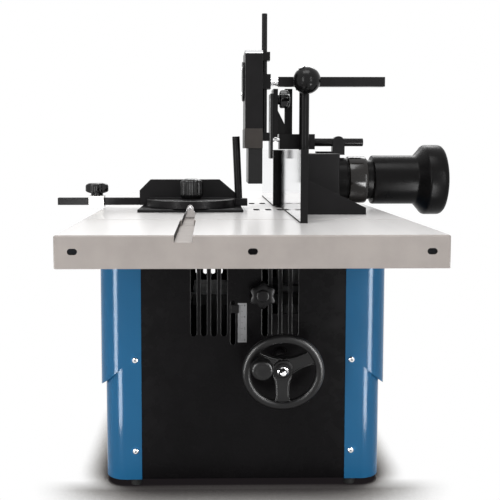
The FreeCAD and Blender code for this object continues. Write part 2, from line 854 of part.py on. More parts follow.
def build_tables():
    """Main table with the insert's pocket, and an extension table at each end."""
    half_x = "insert_width / 2"
    half_y = "insert_length / 2"
    pocket = box((f"insert_x - {half_x}", f"insert_x + {half_x}"), (f"-{half_y}", half_y),
                 ("table_top - insert_depth", "table_top + overrun"))
    opening = box((f"insert_x - {half_x} + insert_ledge", f"insert_x + {half_x} - insert_ledge"),
                  (f"-{half_y} + insert_ledge", f"{half_y} - insert_ledge"),
                  ("table_top - table_plate - overrun", "table_top"))
    casting = table_casting(f"-{MAIN_HALF}", MAIN_HALF, "slot_width", "slot_depth", SEAM_SPOTS,
                            SEAM_SPOTS)
    node("main_table", cut(casting, pocket, opening))
    node("near_extension_table",
         table_casting(f"-{MAIN_HALF} - wing_length", f"-{MAIN_HALF}", "wing_slot_width",
                       "wing_slot_depth", END_SPOTS, SEAM_SPOTS))
    node("far_extension_table",
         table_casting(MAIN_HALF, f"{MAIN_HALF} + wing_length", "wing_slot_width",
                       "wing_slot_depth", SEAM_SPOTS, END_SPOTS))


def build_extension_bolts():
    """Bolts with nuts that hold the extension tables against the main table's ends."""
    bolts = []
    for seam in (f"-{MAIN_HALF}", MAIN_HALF):
        for spot in SEAM_SPOTS:
            low = f"{seam} - table_wall"
            high = f"{seam} + table_wall"
            centre = (spot, HOLE_HEIGHT)
            bolts.append(fuse(rod("y", (low, high), "bolt_radius", centre),
                              rod("y", (f"{low} - bolt_head_height", low), "bolt_head_radius", centre),
                              rod("y", (high, f"{high} + bolt_head_height"), "bolt_head_radius", centre)))
    node("extension_bolts", group(*bolts))


def build_insert():
    """Drop-in insert round the spindle, with two rows of oblong slots."""
    half_x = "insert_width / 2 - sliding_gap"
    half_y = "insert_length / 2 - sliding_gap"
    through = ("table_top - insert_depth - overrun", "table_top + overrun")
    plate = box((f"insert_x - ({half_x})", f"insert_x + {half_x}"), (f"-({half_y})", half_y),
                ("table_top - insert_depth", "table_top"))
    slots = [oblong("z", through, "insert_slot_width", "insert_slot_length", "y",
                    [f"insert_slot_x + {index} * insert_slot_pitch", row])
             for row in ("-insert_near_row", "insert_far_row") for index in range(4)]
    hole = rod("z", through, "insert_hole_radius", ("spindle_x", "0"))
    node("table_insert", cut(plate, hole, *slots))


def build_columns():
    """Two ground columns from the tray to the underside of the table."""
    node("guide_columns", group(*[rod("z", ("foot_height + tray_wall", "table_top - table_plate"),
                                      "column_radius",
                                      ("column_x", f"{side}column_y")) for side in ("-", "")]))


def build_carriage():
    """Lift casting: plate for motor and columns, sleeve for the spindle, arm for the lead-screw nut."""
    under = "carriage_top - carriage_plate"
    parts = [box(("motor_x - motor_radius + carriage_back_margin", "spindle_x + carriage_back_margin"),
                 ("-carriage_half_depth", "carriage_half_depth"), (under, "carriage_top")),
             rod("z", ("sleeve_bottom", "carriage_top"), "sleeve_radius", ("spindle_x", "0"))]
    cuts = [rod("z", ("sleeve_bottom - overrun", "carriage_top + overrun"), "quill_radius + running_gap",
                ("spindle_x", "0"))]
    for side in ("-", ""):
        centre = ("column_x", f"{side}column_y")
        parts.append(rod("z", ("column_boss_bottom", "carriage_top"), "column_boss_radius", centre))
        cuts.append(rod("z", ("nut_arm_bottom - overrun", "carriage_top + overrun"),
                        "column_radius + running_gap", centre))
    arm = ("nut_arm_bottom", "nut_arm_bottom + nut_arm_height")
    parts.append(box(("column_x + column_radius + nut_arm_clearance", "spindle_x"),
                     ("-screw_y - nut_boss_half", "0"), arm))
    parts.append(box(("wheel_x - nut_boss_half", "wheel_x + nut_boss_half"),
                     ("-screw_y - nut_boss_half", "-screw_y + nut_boss_half"), arm))
    cuts.append(rod("z", (f"{arm[0]} - overrun", f"{arm[1]} + overrun"),
                    "lead_screw_radius + running_gap",
                    ("wheel_x", "-screw_y")))
    node("lift_carriage", cut(fuse(*parts), *cuts))


def along_shaft(reach):
    """A point on the tilted wheel shaft, counted inwards from the wheel's centre."""
    return ("wheel_x", f"wheel_y + ({reach}) * cos(wheel_tilt)",
            f"wheel_height + ({reach}) * sin(wheel_tilt)")


def on_shaft(item, reach):
    """Put a solid, made along its own Z axis, on the tilted wheel shaft."""
    return place(turn(item, "x", "wheel_tilt - 90"), *along_shaft(reach))


PANEL_REACH = f"(-({PANEL_FACE}) - wheel_y) / cos(wheel_tilt)"
APEX_REACH = "(-screw_y - wheel_y) / cos(wheel_tilt)"
APEX_HEIGHT = "wheel_height + (-screw_y - wheel_y) * tan(wheel_tilt)"
GEAR_SLOPE = "tan((90 - wheel_tilt) / 2 - gear_mesh_angle)"


def tilted_shaft(radius, before, beyond):
    """A round cutter on the wheel shaft's axis, from before the near panel to beyond it."""
    item = bind(doc.addObject("Part::Cylinder", "rod"), Radius=radius, Height=f"({beyond}) - ({before})")
    return on_shaft(item, f"{PANEL_REACH} + ({before})")


def build_screw_drive():
    """Lead screw with its bevel gear, the wheel shaft with its pinion, bush and bracket."""
    inner = f"gear_inner_reach * {GEAR_SLOPE}"
    outer = f"gear_outer_reach * {GEAR_SLOPE}"
    shaft = turned([("0", "hub_face - acorn_height / 2"),
                    ("shaft_radius - running_gap", "hub_face - acorn_height / 2"),
                    ("shaft_radius - running_gap", "hub_end"), ("shaft_radius", "hub_end"),
                    ("shaft_radius", f"{APEX_REACH} - gear_outer_reach"),
                    (outer, f"{APEX_REACH} - gear_outer_reach"),
                    (inner, f"{APEX_REACH} - gear_inner_reach"),
                    ("0", f"{APEX_REACH} - gear_inner_reach")])
    node("wheel_shaft", on_shaft(shaft, "0"))
    tray_top = "foot_height + tray_wall"
    screw = turned([("0", tray_top), ("lead_screw_radius", tray_top),
                    ("lead_screw_radius", f"{APEX_HEIGHT} - gear_outer_reach"),
                    (outer, f"{APEX_HEIGHT} - gear_outer_reach"),
                    (inner, f"{APEX_HEIGHT} - gear_inner_reach"),
                    ("0", f"{APEX_HEIGHT} - gear_inner_reach")])
    node("lead_screw", place(screw, "wheel_x", "-screw_y", "0"))
    bush = tilted_shaft("shaft_bush_radius", "-bush_outer_reach", "bush_inner_reach")
    back = f"-({PANEL_FACE} - sheet_wall)"
    plate = box(("wheel_x - bracket_half_width", "wheel_x + bracket_half_width"),
                (back, f"{back} + bracket_wall"),
                ("bracket_bottom", "bracket_top"))
    arm_tall = ("bracket_arm_bottom", "bracket_arm_bottom + bracket_arm_height")
    arm = box(("wheel_x - bracket_arm_half", "wheel_x + bracket_arm_half"),
              (back, "-screw_y + bracket_arm_half"), arm_tall)
    bore = rod("z", (f"{arm_tall[0]} - overrun", f"{arm_tall[1]} + overrun"),
               "lead_screw_radius + running_gap",
               ("wheel_x", "-screw_y"))
    hole = tilted_shaft("shaft_radius + running_gap", "-bush_outer_reach - overrun",
                        "bush_inner_reach + overrun")
    node("screw_bracket", cut(fuse(plate, arm, bush), bore, hole))


def build_handwheel():
    """Dished three-spoke wheel on the tilted shaft, its acorn nut and its turning crank knob."""
    rim = bind(doc.addObject("Part::Torus", "rim"), Radius1="wheel_radius", Radius2="rim_radius")
    hub = rod("z", ("hub_face", "hub_end"), "hub_radius", ("0", "0"))
    spokes = []
    for angle in ("90", "210", "330"):
        spoke = padded("XZ_Plane", [("0", "hub_dish - spoke_thickness / 2"),
                                    ("wheel_radius", "-spoke_thickness / 2"),
                                    ("wheel_radius", "spoke_thickness / 2"),
                                    ("0", "hub_dish + spoke_thickness / 2")], "spoke_width")
        spokes.append(turn(spoke, "z", angle))
    crank = ("crank_reach * cos(crank_angle)", "crank_reach * sin(crank_angle)")
    boss = rod("z", ("crank_seat - crank_foot", "crank_seat + spoke_thickness / 2"), "crank_boss_radius",
               crank)
    pin = rod("z", ("crank_seat - crank_foot - crank_length / 2", "crank_seat"), "crank_pin_radius",
              crank)
    bore = rod("z", ("hub_face - overrun", "hub_end + overrun"), "shaft_radius", ("0", "0"))
    node("handwheel", on_shaft(cut(fuse(rim, hub, *spokes, boss, pin), bore), "0"))
    nut = turned([("0", "hub_face - acorn_height - acorn_dome_height"),
                  ("acorn_dome_radius", "hub_face - acorn_height - acorn_dome_height / 2"),
                  ("acorn_dome_radius", "hub_face - acorn_height"),
                  ("acorn_radius", "hub_face - acorn_height"),
                  ("acorn_radius", "hub_face"), ("shaft_radius", "hub_face"),
                  ("shaft_radius", "hub_face - acorn_height / 2"),
                  ("0", "hub_face - acorn_height / 2")])
    node("acorn_nut", on_shaft(nut, "0"))
    top = "crank_seat - crank_foot - sliding_gap"
    knob = turned([("0", f"{top} - crank_length"), ("crank_radius / 2", f"{top} - crank_length"),
                   ("crank_radius", f"{top} - crank_length * knob_round_share"),
                   ("crank_radius", f"{top} - crank_length / 2"), ("crank_neck_radius", top),
                   ("crank_pin_radius + running_gap", top),
                   ("crank_pin_radius + running_gap", f"{top} - crank_length / 2"),
                   ("0", f"{top} - crank_length / 2")])
    knob = place(knob, *crank, "0")
    node("crank_knob", on_shaft(group(knob), "0"))


def build_height_lock():
    """Star knob with its stud in the near panel's boss."""
    centre = ("lock_x", "lock_height")
    front = f"-({PANEL_FACE}) - lock_boss_height"
    back = f"{front} - sliding_gap"
    tip = f"{back} - lock_thickness"
    solids = lobed_knob("y", (tip, back), "lock_lobe_ring", "lock_lobe_radius", 6, centre)
    solids.append(rod("y", (f"{tip} - lock_cap_height", tip), "lock_cap_radius", centre))
    solids.append(rod("y", (back, f"{back} + lock_stud_length"), "lock_stud_radius", centre))
    node("height_lock_knob", fuse(*solids))


def build_pointer():
    """Pointer on the carriage that shows through the panel's window."""
    face = f"-({PANEL_FACE})"
    tall = ("carriage_top", "carriage_top + pointer_width")
    stem = box(("window_x - pointer_width / 2", "window_x + pointer_width / 2"),
               (f"{face} - sliding_gap - pointer_wall", "-carriage_half_depth + carriage_plate"), tall)
    middle = "carriage_top + pointer_width / 2"
    head = box(("window_x - pointer_width / 2", "window_x - pointer_width / 2 + pointer_head_width"),
               (f"{face} - sliding_gap - scale_wall - pointer_wall",
                f"{face} - sliding_gap - scale_wall"),
               (f"{middle} - pointer_head_height / 2", f"{middle} + pointer_head_height / 2"))
    node("height_pointer", fuse(stem, head))


def build_motor():
    """Motor under the carriage plate, with cooling ribs, and its shaft with the driving pulley."""
    under = "carriage_top - carriage_plate"
    shell = turned([("motor_shaft_radius + running_gap", "motor_bottom - motor_boss_height"),
                    ("motor_boss_radius", "motor_bottom - motor_boss_height"),
                    ("motor_boss_radius", "motor_bottom"),
                    ("motor_radius", "motor_bottom"), ("motor_radius", under), ("0", under),
                    ("0", "motor_bottom + motor_shaft_reach"),
                    ("motor_shaft_radius + running_gap", "motor_bottom + motor_shaft_reach")])
    grooves = []
    for index in range(int(SIZES["motor_fin_count"])):
        groove = box(("0", "motor_fin_depth + overrun"), ("0", "motor_fin_width"),
                     ("motor_bottom + motor_fin_margin", f"{under} - motor_fin_margin"))
        angle = f"({index} * 360 / motor_fin_count)"
        turn(groove, "z", angle[1:-1])
        reach = "(motor_radius - motor_fin_depth)"
        place(groove, f"{reach} * cos{angle}", f"{reach} * sin{angle}", "motor_bottom + motor_fin_margin")
        grooves.append(groove)
    node("motor", place(cut(shell, *grooves), "motor_x", "0", "0"))
    top = "pulley_bottom + pulley_height"
    rim = "motor_pulley_radius + pulley_rim"
    pulley = turned([("0", "pulley_bottom"), (rim, "pulley_bottom"),
                     (rim, "pulley_bottom + pulley_rim_height"),
                     ("motor_pulley_radius", "pulley_bottom + pulley_rim_height"),
                     ("motor_pulley_radius", f"{top} - pulley_rim_height"),
                     (rim, f"{top} - pulley_rim_height"),
                     (rim, top), ("motor_shaft_radius", top),
                     ("motor_shaft_radius", "motor_bottom + motor_shaft_reach - sliding_gap"),
                     ("0", "motor_bottom + motor_shaft_reach - sliding_gap")])
    node("motor_pulley", place(pulley, "motor_x", "0", "0"))


def belt_loop(extra):
    """A solid loop round both pulleys, a named distance outside them."""
    span = ("pulley_bottom + pulley_rim_height + sliding_gap",
            "pulley_bottom + pulley_height - pulley_rim_height - sliding_gap")
    large = f"(motor_pulley_radius + {extra})"
    small = f"(spindle_pulley_radius + {extra})"
    lean = "((motor_pulley_radius - spindle_pulley_radius) / (spindle_x - motor_x))"
    rise = f"sqrt(1 - {lean} ^ 2)"
    web = padded("XY_Plane", [(f"motor_x + {large} * {lean}", f"-{large} * {rise}"),
                              (f"spindle_x + {small} * {lean}", f"-{small} * {rise}"),
                              (f"spindle_x + {small} * {lean}", f"{small} * {rise}"),
                              (f"motor_x + {large} * {lean}", f"{large} * {rise}")],
                 f"({span[1]}) - ({span[0]})")
    place(web, "0", "0", f"(({span[0]}) + ({span[1]})) / 2")
    return fuse(web, rod("z", span, large, ("motor_x", "0")), rod("z", span, small, ("spindle_x", "0")))


def build_belt():
    """Flat drive belt round the two pulleys."""
    node("drive_belt", cut(belt_loop("sliding_gap + belt_thickness"), belt_loop("sliding_gap")))


def build_spindle():
    """Spindle housing with its bearings, and the spindle with pulley, spacer rings and nut."""
    seat = "bearing_radius + running_gap"
    housing = turned([("quill_bore", "quill_bottom + bearing_height"),
                      (seat, "quill_bottom + bearing_height"),
                      (seat, "quill_bottom"), ("quill_radius", "quill_bottom"),
                      ("quill_radius", "carriage_top"),
                      ("quill_collar_radius", "carriage_top"),
                      ("quill_collar_radius", "carriage_top + quill_collar_height"),
                      ("quill_radius", "carriage_top + quill_collar_height"),
                      ("quill_radius", "quill_top"),
                      (seat, "quill_top"), (seat, "quill_top - bearing_height"),
                      ("quill_bore", "quill_top - bearing_height")])
    node("spindle_housing", place(housing, "spindle_x", "0", "0"))
    rings = []
    for low in ("quill_bottom", "quill_top - bearing_height"):
        span = (low, f"{low} + bearing_height")
        rings.append(cut(rod("z", span, "bearing_radius", ("spindle_x", "0")),
                         rod("z", (f"{low} - overrun", f"{span[1]} + overrun"),
                             "spindle_radius + running_gap",
                             ("spindle_x", "0"))))
    node("spindle_bearings", group(*rings))
    flange_top = "spindle_flange_bottom + spindle_flange_height"
    shaft = turned([("0", "spindle_bottom"), ("spindle_radius", "spindle_bottom"),
                    ("spindle_radius", "spindle_flange_bottom"),
                    ("spindle_flange_radius", "spindle_flange_bottom"),
                    ("spindle_flange_radius", flange_top), ("spindle_radius", flange_top),
                    ("spindle_radius", "spindle_top"), ("0", "spindle_top")])
    node("spindle", place(shaft, "spindle_x", "0", "0"))
    top = "pulley_bottom + pulley_height"
    rim = "spindle_pulley_radius + pulley_rim"
    bore = "spindle_radius + running_gap"
    pulley = turned([(bore, "pulley_bottom"), (rim, "pulley_bottom"),
                     (rim, "pulley_bottom + pulley_rim_height"),
                     ("spindle_pulley_radius", "pulley_bottom + pulley_rim_height"),
                     ("spindle_pulley_radius", f"{top} - pulley_rim_height"),
                     (rim, f"{top} - pulley_rim_height"),
                     (rim, top), (bore, top)])
    node("spindle_pulley", place(pulley, "spindle_x", "0", "0"))
    nut_low = "spindle_top - spindle_thread_length"
    stack = f"({nut_low} - ({flange_top})) / 3"
    spacers = []
    for index in range(3):
        low = f"{flange_top} + {index} * {stack}"
        spacers.append(place(turned([(bore, low), ("ring_radius", low),
                                     ("ring_radius", f"{low} + {stack}"),
                                     (bore, f"{low} + {stack}")]), "spindle_x", "0", "0"))
    nut = turned([(bore, nut_low), ("spindle_nut_radius", nut_low),
                  ("spindle_nut_radius", f"{nut_low} + spindle_nut_height"),
                  (bore, f"{nut_low} + spindle_nut_height")])
    node("spindle_collars", group(*spacers, place(nut, "spindle_x", "0", "0")))


FENCE_BACK = "fence_face_x + fence_plate_wall"
BASE_FRONT = f"({FENCE_BACK} + sliding_gap)"
BASE_BACK = f"({FENCE_BACK} + sliding_gap + fence_base_wall)"
BOLT_HEIGHTS = ("table_top + fence_bolt_low", "table_top + fence_bolt_high")


def build_fence_base():
    """Upright base plate with the cutter throat, slots for the plates and two gussets."""
    plate = box((BASE_FRONT, BASE_BACK), ("-fence_base_half", "fence_base_half"),
                ("table_top", "table_top + fence_base_height"))
    throat = box((f"{BASE_FRONT} - overrun", f"{BASE_BACK} + overrun"), ("-throat_half", "throat_half"),
                 ("table_top - overrun", "table_top + throat_height"))
    slots = [oblong("x", (f"{BASE_FRONT} - overrun", f"{BASE_BACK} + overrun"),
                    "2 * (bolt_radius + sliding_gap)",
                    "fence_slot_length", "y", [f"{side}fence_slot_y", height])
             for side in ("-", "") for height in BOLT_HEIGHTS]
    gussets = []
    for side in ("-", ""):
        gusset = padded("XZ_Plane", [(BASE_FRONT, "table_top"), ("gusset_reach", "table_top"),
                                     ("gusset_reach", "table_top + gusset_toe"),
                                     (BASE_BACK, "table_top + gusset_height"),
                                     (BASE_FRONT, "table_top + gusset_height")], "gusset_wall")
        gussets.append(place(gusset, "0", f"{side}(fence_base_half - gusset_wall / 2)", "0"))
    node("fence_base", fuse(cut(plate, throat, *slots), *gussets))


def build_fence_plates():
    """Two aluminium plates with clamping studs; the far one stands forward on its carrier."""
    tall = ("table_top", "table_top + fence_height")
    along = ("fence_gap_half", "fence_reach")
    near_span = (f"-{along[1]}", f"-{along[0]}")
    node("far_fence_plate", box(("fence_face_x - outfeed_offset", "fence_face_x"), along, tall))
    for name, side, span in (("near_fence_plate", "-", near_span), ("far_fence_carrier", "", along)):
        studs = []
        for height in BOLT_HEIGHTS:
            centre = (f"{side}fence_slot_y", height)
            head = f"{BASE_BACK} + sliding_gap"
            studs.append(rod("x", (FENCE_BACK, head), "bolt_radius", centre))
            studs.append(rod("x", (head, f"{head} + bolt_head_height"), "bolt_head_radius", centre))
        node(name, fuse(box(("fence_face_x", FENCE_BACK), span, tall), *studs))


def build_hood():
    """Extraction hood, open at the front and below, and the dust adapter on its rear wall."""
    block = box((BASE_BACK, "hood_rear"), ("-hood_half", "hood_half"),
                ("table_top", "table_top + hood_height"))
    block = rounded(block, "hood_wall", lambda edge: near(edge.CenterOfMass.x, "hood_rear")
                    or (runs_along(edge, (1, 0, 0)) and near(edge.CenterOfMass.z,
                                                             "table_top + hood_height")))
    hollow = box((f"{BASE_BACK} - overrun", "hood_rear - hood_wall"),
                 ("-hood_half + hood_wall", "hood_half - hood_wall"),
                 ("table_top - overrun", "table_top + hood_height - hood_wall"))
    axis = ("0", "table_top + dust_axis_height")
    outlet = rod("x", ("hood_rear - hood_wall - overrun", "hood_rear + overrun"), "dust_neck_radius",
                 axis)
    pivot = ("ear_x", "guard_bar_height")
    sides = ("guard_y - ear_half", "guard_y + ear_half")
    ear = fuse(rod("y", sides, "ear_radius", pivot),
               box(("ear_x - ear_radius", "ear_x + ear_radius"), sides,
                   ("table_top + hood_height - hood_wall", "guard_bar_height")),
               box(("hood_rear - ear_foot_length", "ear_x + ear_radius"), sides,
                   ("table_top + hood_height - hood_wall", "table_top + hood_height + ear_foot_wall")))
    bore = rod("x", ("ear_x - ear_radius - overrun", "ear_x + ear_radius + overrun"),
               "guard_bar_radius + running_gap",
               ("guard_y", "guard_bar_height"))
    node("extraction_hood", cut(fuse(cut(block, hollow, outlet), ear), bore))
    outer = []
    at = "-dust_spigot_length"
    for length, radius in (("dust_spigot_length", "dust_neck_radius - running_gap"),
                           ("dust_collar_length", "dust_collar_radius"),
                           ("dust_neck_length", "dust_neck_radius"),
                           ("dust_pipe_length", "dust_pipe_radius")):
        outer += [(radius, at), (radius, f"{at} + {length}")]
        at = f"{at} + {length}"
    bore = "dust_neck_radius - dust_wall"
    inner = [(bore, "-dust_spigot_length"), (bore, "dust_collar_length + dust_neck_length + dust_wall"),
             ("dust_pipe_radius - dust_wall", "dust_collar_length + dust_neck_length + dust_wall"),
             ("dust_pipe_radius - dust_wall", at)]
    rim = f"{at} + dust_cone_length"
    end = f"{rim} + dust_rim_length"
    outer += [("dust_rim_radius - dust_rim_round / 2", rim),
              ("dust_rim_radius", f"{rim} + dust_rim_round / 2"),
              ("dust_rim_radius", f"{end} - dust_rim_round"),
              ("dust_rim_radius - dust_rim_round / 3", f"{end} - dust_rim_round / 3"),
              ("dust_rim_radius - dust_rim_round", end)]
    inner += [("hose_radius", rim), ("hose_radius", end)]
    adapter = turned(outer + inner[::-1])
    node("dust_adapter", place(turn(adapter, "y", "90"), "hood_rear", "0",
                               "table_top + dust_axis_height"))


def lobed_knob(axis, span, ring, lobe, lobes, centre):
    """A knob with round lobes on a ring about its axis."""
    solids = [rod(axis, span, ring, centre)]
    for index in range(lobes):
        angle = f"({index} * 360 / {lobes})"
        spot = (f"({centre[0]}) + {ring} * cos{angle}", f"({centre[1]}) + {ring} * sin{angle}")
        solids.append(rod(axis, span, lobe, spot))
    return solids


def build_guard():
    """Guard bar through the hood's ear, the arm it carries, the visor and its lobed knob."""
    bar = rod("x", ("arm_back", "guard_bar_end"), "guard_bar_radius", ("guard_y", "guard_bar_height"))
    foot_top = "arm_bottom + arm_height"
    flange_back = "arm_front + flange_wall"
    web = padded("XZ_Plane", [(flange_back, foot_top), (f"{flange_back} + web_reach", foot_top),
                              (flange_back, f"{foot_top} + web_height")], "web_wall")
    arm = fuse(box(("foot_front", "arm_back"), ("guard_y - arm_half", "guard_y + arm_half"),
                   ("arm_bottom", foot_top)),
               box(("leg_front", "leg_front + leg_width"), ("guard_y + leg_offset", "guard_y + arm_half"),
                   (foot_top, "leg_top")),
               box(("arm_front", flange_back), ("flange_near", "flange_far"),
                   (f"{foot_top} - flange_drop", "flange_top")),
               place(web, "0", "guard_y", "0"), bar)
    centre = ("guard_knob_y", "guard_knob_height")
    hole = rod("x", ("arm_front - overrun", f"{flange_back} + overrun"),
               "guard_stud_radius + running_gap", centre)
    node("guard_arm", cut(arm, hole))
    visor_back = "arm_front - sliding_gap"
    visor = box((f"{visor_back} - visor_wall", visor_back), ("flange_near", "flange_far"),
                ("visor_bottom", "visor_top"))
    slot = oblong("x", (f"{visor_back} - visor_wall - overrun", f"{visor_back} + overrun"),
                  "2 * (guard_stud_radius + sliding_gap)", "guard_slot_length", "z",
                  ["guard_knob_y", "guard_knob_height - guard_slot_length / 2 + 2 * guard_stud_radius"])
    node("guard_visor", cut(visor, slot))
    start = f"{flange_back} + sliding_gap"
    solids = lobed_knob("x", (start, f"{start} + guard_knob_depth"), "guard_knob_radius",
                        "guard_lobe_radius", 5, centre)
    solids.append(rod("x", (f"{visor_back} - visor_wall", start), "guard_stud_radius", centre))
    node("guard_knob", fuse(*solids))


def build_hold_down():
    """Post on the hood, cross bar, upright, and the housing with its sprung shoe."""
    half = "cross_bar_size / 2"
    head = box(("hold_post_x - hold_head_half", "hold_post_x + hold_head_half"),
               ("hold_y - hold_head_depth / 2", "hold_y + hold_head_depth / 2"),
               ("cross_bar_height - hold_head_half", "cross_bar_height + hold_head_half"))
    stem = rod("z", ("table_top + hood_height", "cross_bar_height"), "hold_post_radius",
               ("hold_post_x", "hold_y"))
    window = box(("hold_post_x - hold_head_half - overrun", "hold_post_x + hold_head_half + overrun"),
                 (f"hold_y - {half} - sliding_gap", f"hold_y + {half} + sliding_gap"),
                 (f"cross_bar_height - {half} - sliding_gap", f"cross_bar_height + {half} + sliding_gap"))
    stud_hole = rod("y", ("hold_y - hold_head_depth / 2 - overrun", "hold_y - cross_bar_size / 2"),
                    "ball_stud_radius + running_gap", ("hold_post_x", "cross_bar_height"))
    node("hold_down_post", cut(fuse(head, stem), window, stud_hole))
    face = "hold_y - hold_head_depth / 2"
    ball = bind(doc.addObject("Part::Sphere", "ball"), Radius="ball_radius")
    place(ball, "hold_post_x", f"{face} - ball_stud_length - ball_radius / 2", "cross_bar_height")
    flat = box(("hold_post_x - 2 * ball_radius", "hold_post_x + 2 * ball_radius"),
               (f"{face} - sliding_gap", "hold_y"),
               ("cross_bar_height - 2 * ball_radius", "cross_bar_height + 2 * ball_radius"))
    stud = rod("y", (f"{face} - ball_stud_length - ball_radius / 2", f"hold_y - {half} - sliding_gap"),
               "ball_stud_radius", ("hold_post_x", "cross_bar_height"))
    node("ball_knob", fuse(cut(ball, flat), stud))
    bar = box(("cross_bar_front", "cross_bar_end"), (f"hold_y - {half}", f"hold_y + {half}"),
              (f"cross_bar_height - {half}", f"cross_bar_height + {half}"))
    reach = "upright_radius + sliding_gap + clamp_wall"
    tall = ("cross_bar_height - clamp_height / 2", "cross_bar_height + clamp_height / 2")
    clamp = cut(box((f"upright_x - ({reach}) + clamp_trim", f"upright_x + {reach}"),
                    (f"hold_y - ({reach})", f"hold_y + {reach}"), tall),
                rod("z", (f"{tall[0]} - overrun", f"{tall[1]} + overrun"), "upright_radius + running_gap",
                    ("upright_x", "hold_y")))
    across = (f"upright_x + {reach}", "cross_bar_front")
    axis = ("hold_y", "cross_bar_height")
    node("cross_bar", fuse(bar, clamp, rod("x", across, "clamp_neck_radius", axis)))
    node("clamp_ring", cut(rod("x", across, "clamp_ring_radius", axis),
                           rod("x", (f"{across[0]} - overrun", f"{across[1]} + overrun"),
                               "clamp_neck_radius + running_gap", axis)))
    solids = [rod("z", ("upright_bottom", "upright_top"), "upright_radius", ("upright_x", "hold_y"))]
    back = "upright_x - upright_radius - sliding_gap"
    block = box(("shoe_housing_front", back), ("shoe_housing_near", "shoe_housing_far"),
                ("shoe_housing_bottom", "shoe_housing_top"))
    block = bevelled(block, "shoe_housing_bevel", lambda edge: runs_along(edge, (1, 0, 0))
                     and near(edge.CenterOfMass.z, "shoe_housing_top"))
    room = box(("shoe_housing_front + shoe_housing_wall", f"{back} + overrun"),
               ("shoe_housing_near + shoe_housing_wall", "shoe_housing_far - shoe_housing_wall"),
               ("shoe_housing_bottom - overrun", "shoe_bottom + shoe_height + shoe_room"))
    node("shoe_housing", cut(block, room))
    side = "upright_radius + lug_wall"
    for low in ("upright_bottom", "shoe_housing_top - lug_height"):
        solids.append(box((back, f"upright_x + {side}"), (f"hold_y - ({side})", f"hold_y + {side}"),
                          (low, f"{low} + lug_height")))
    node("upright", fuse(*solids))
    gap = "sliding_gap"
    shoe = box((f"shoe_housing_front + shoe_housing_wall + {gap}", back),
               (f"shoe_housing_near + shoe_housing_wall + {gap}",
                f"shoe_housing_far - shoe_housing_wall - {gap}"),
               ("shoe_bottom", "shoe_bottom + shoe_height"))
    node("pressure_shoe", shoe)


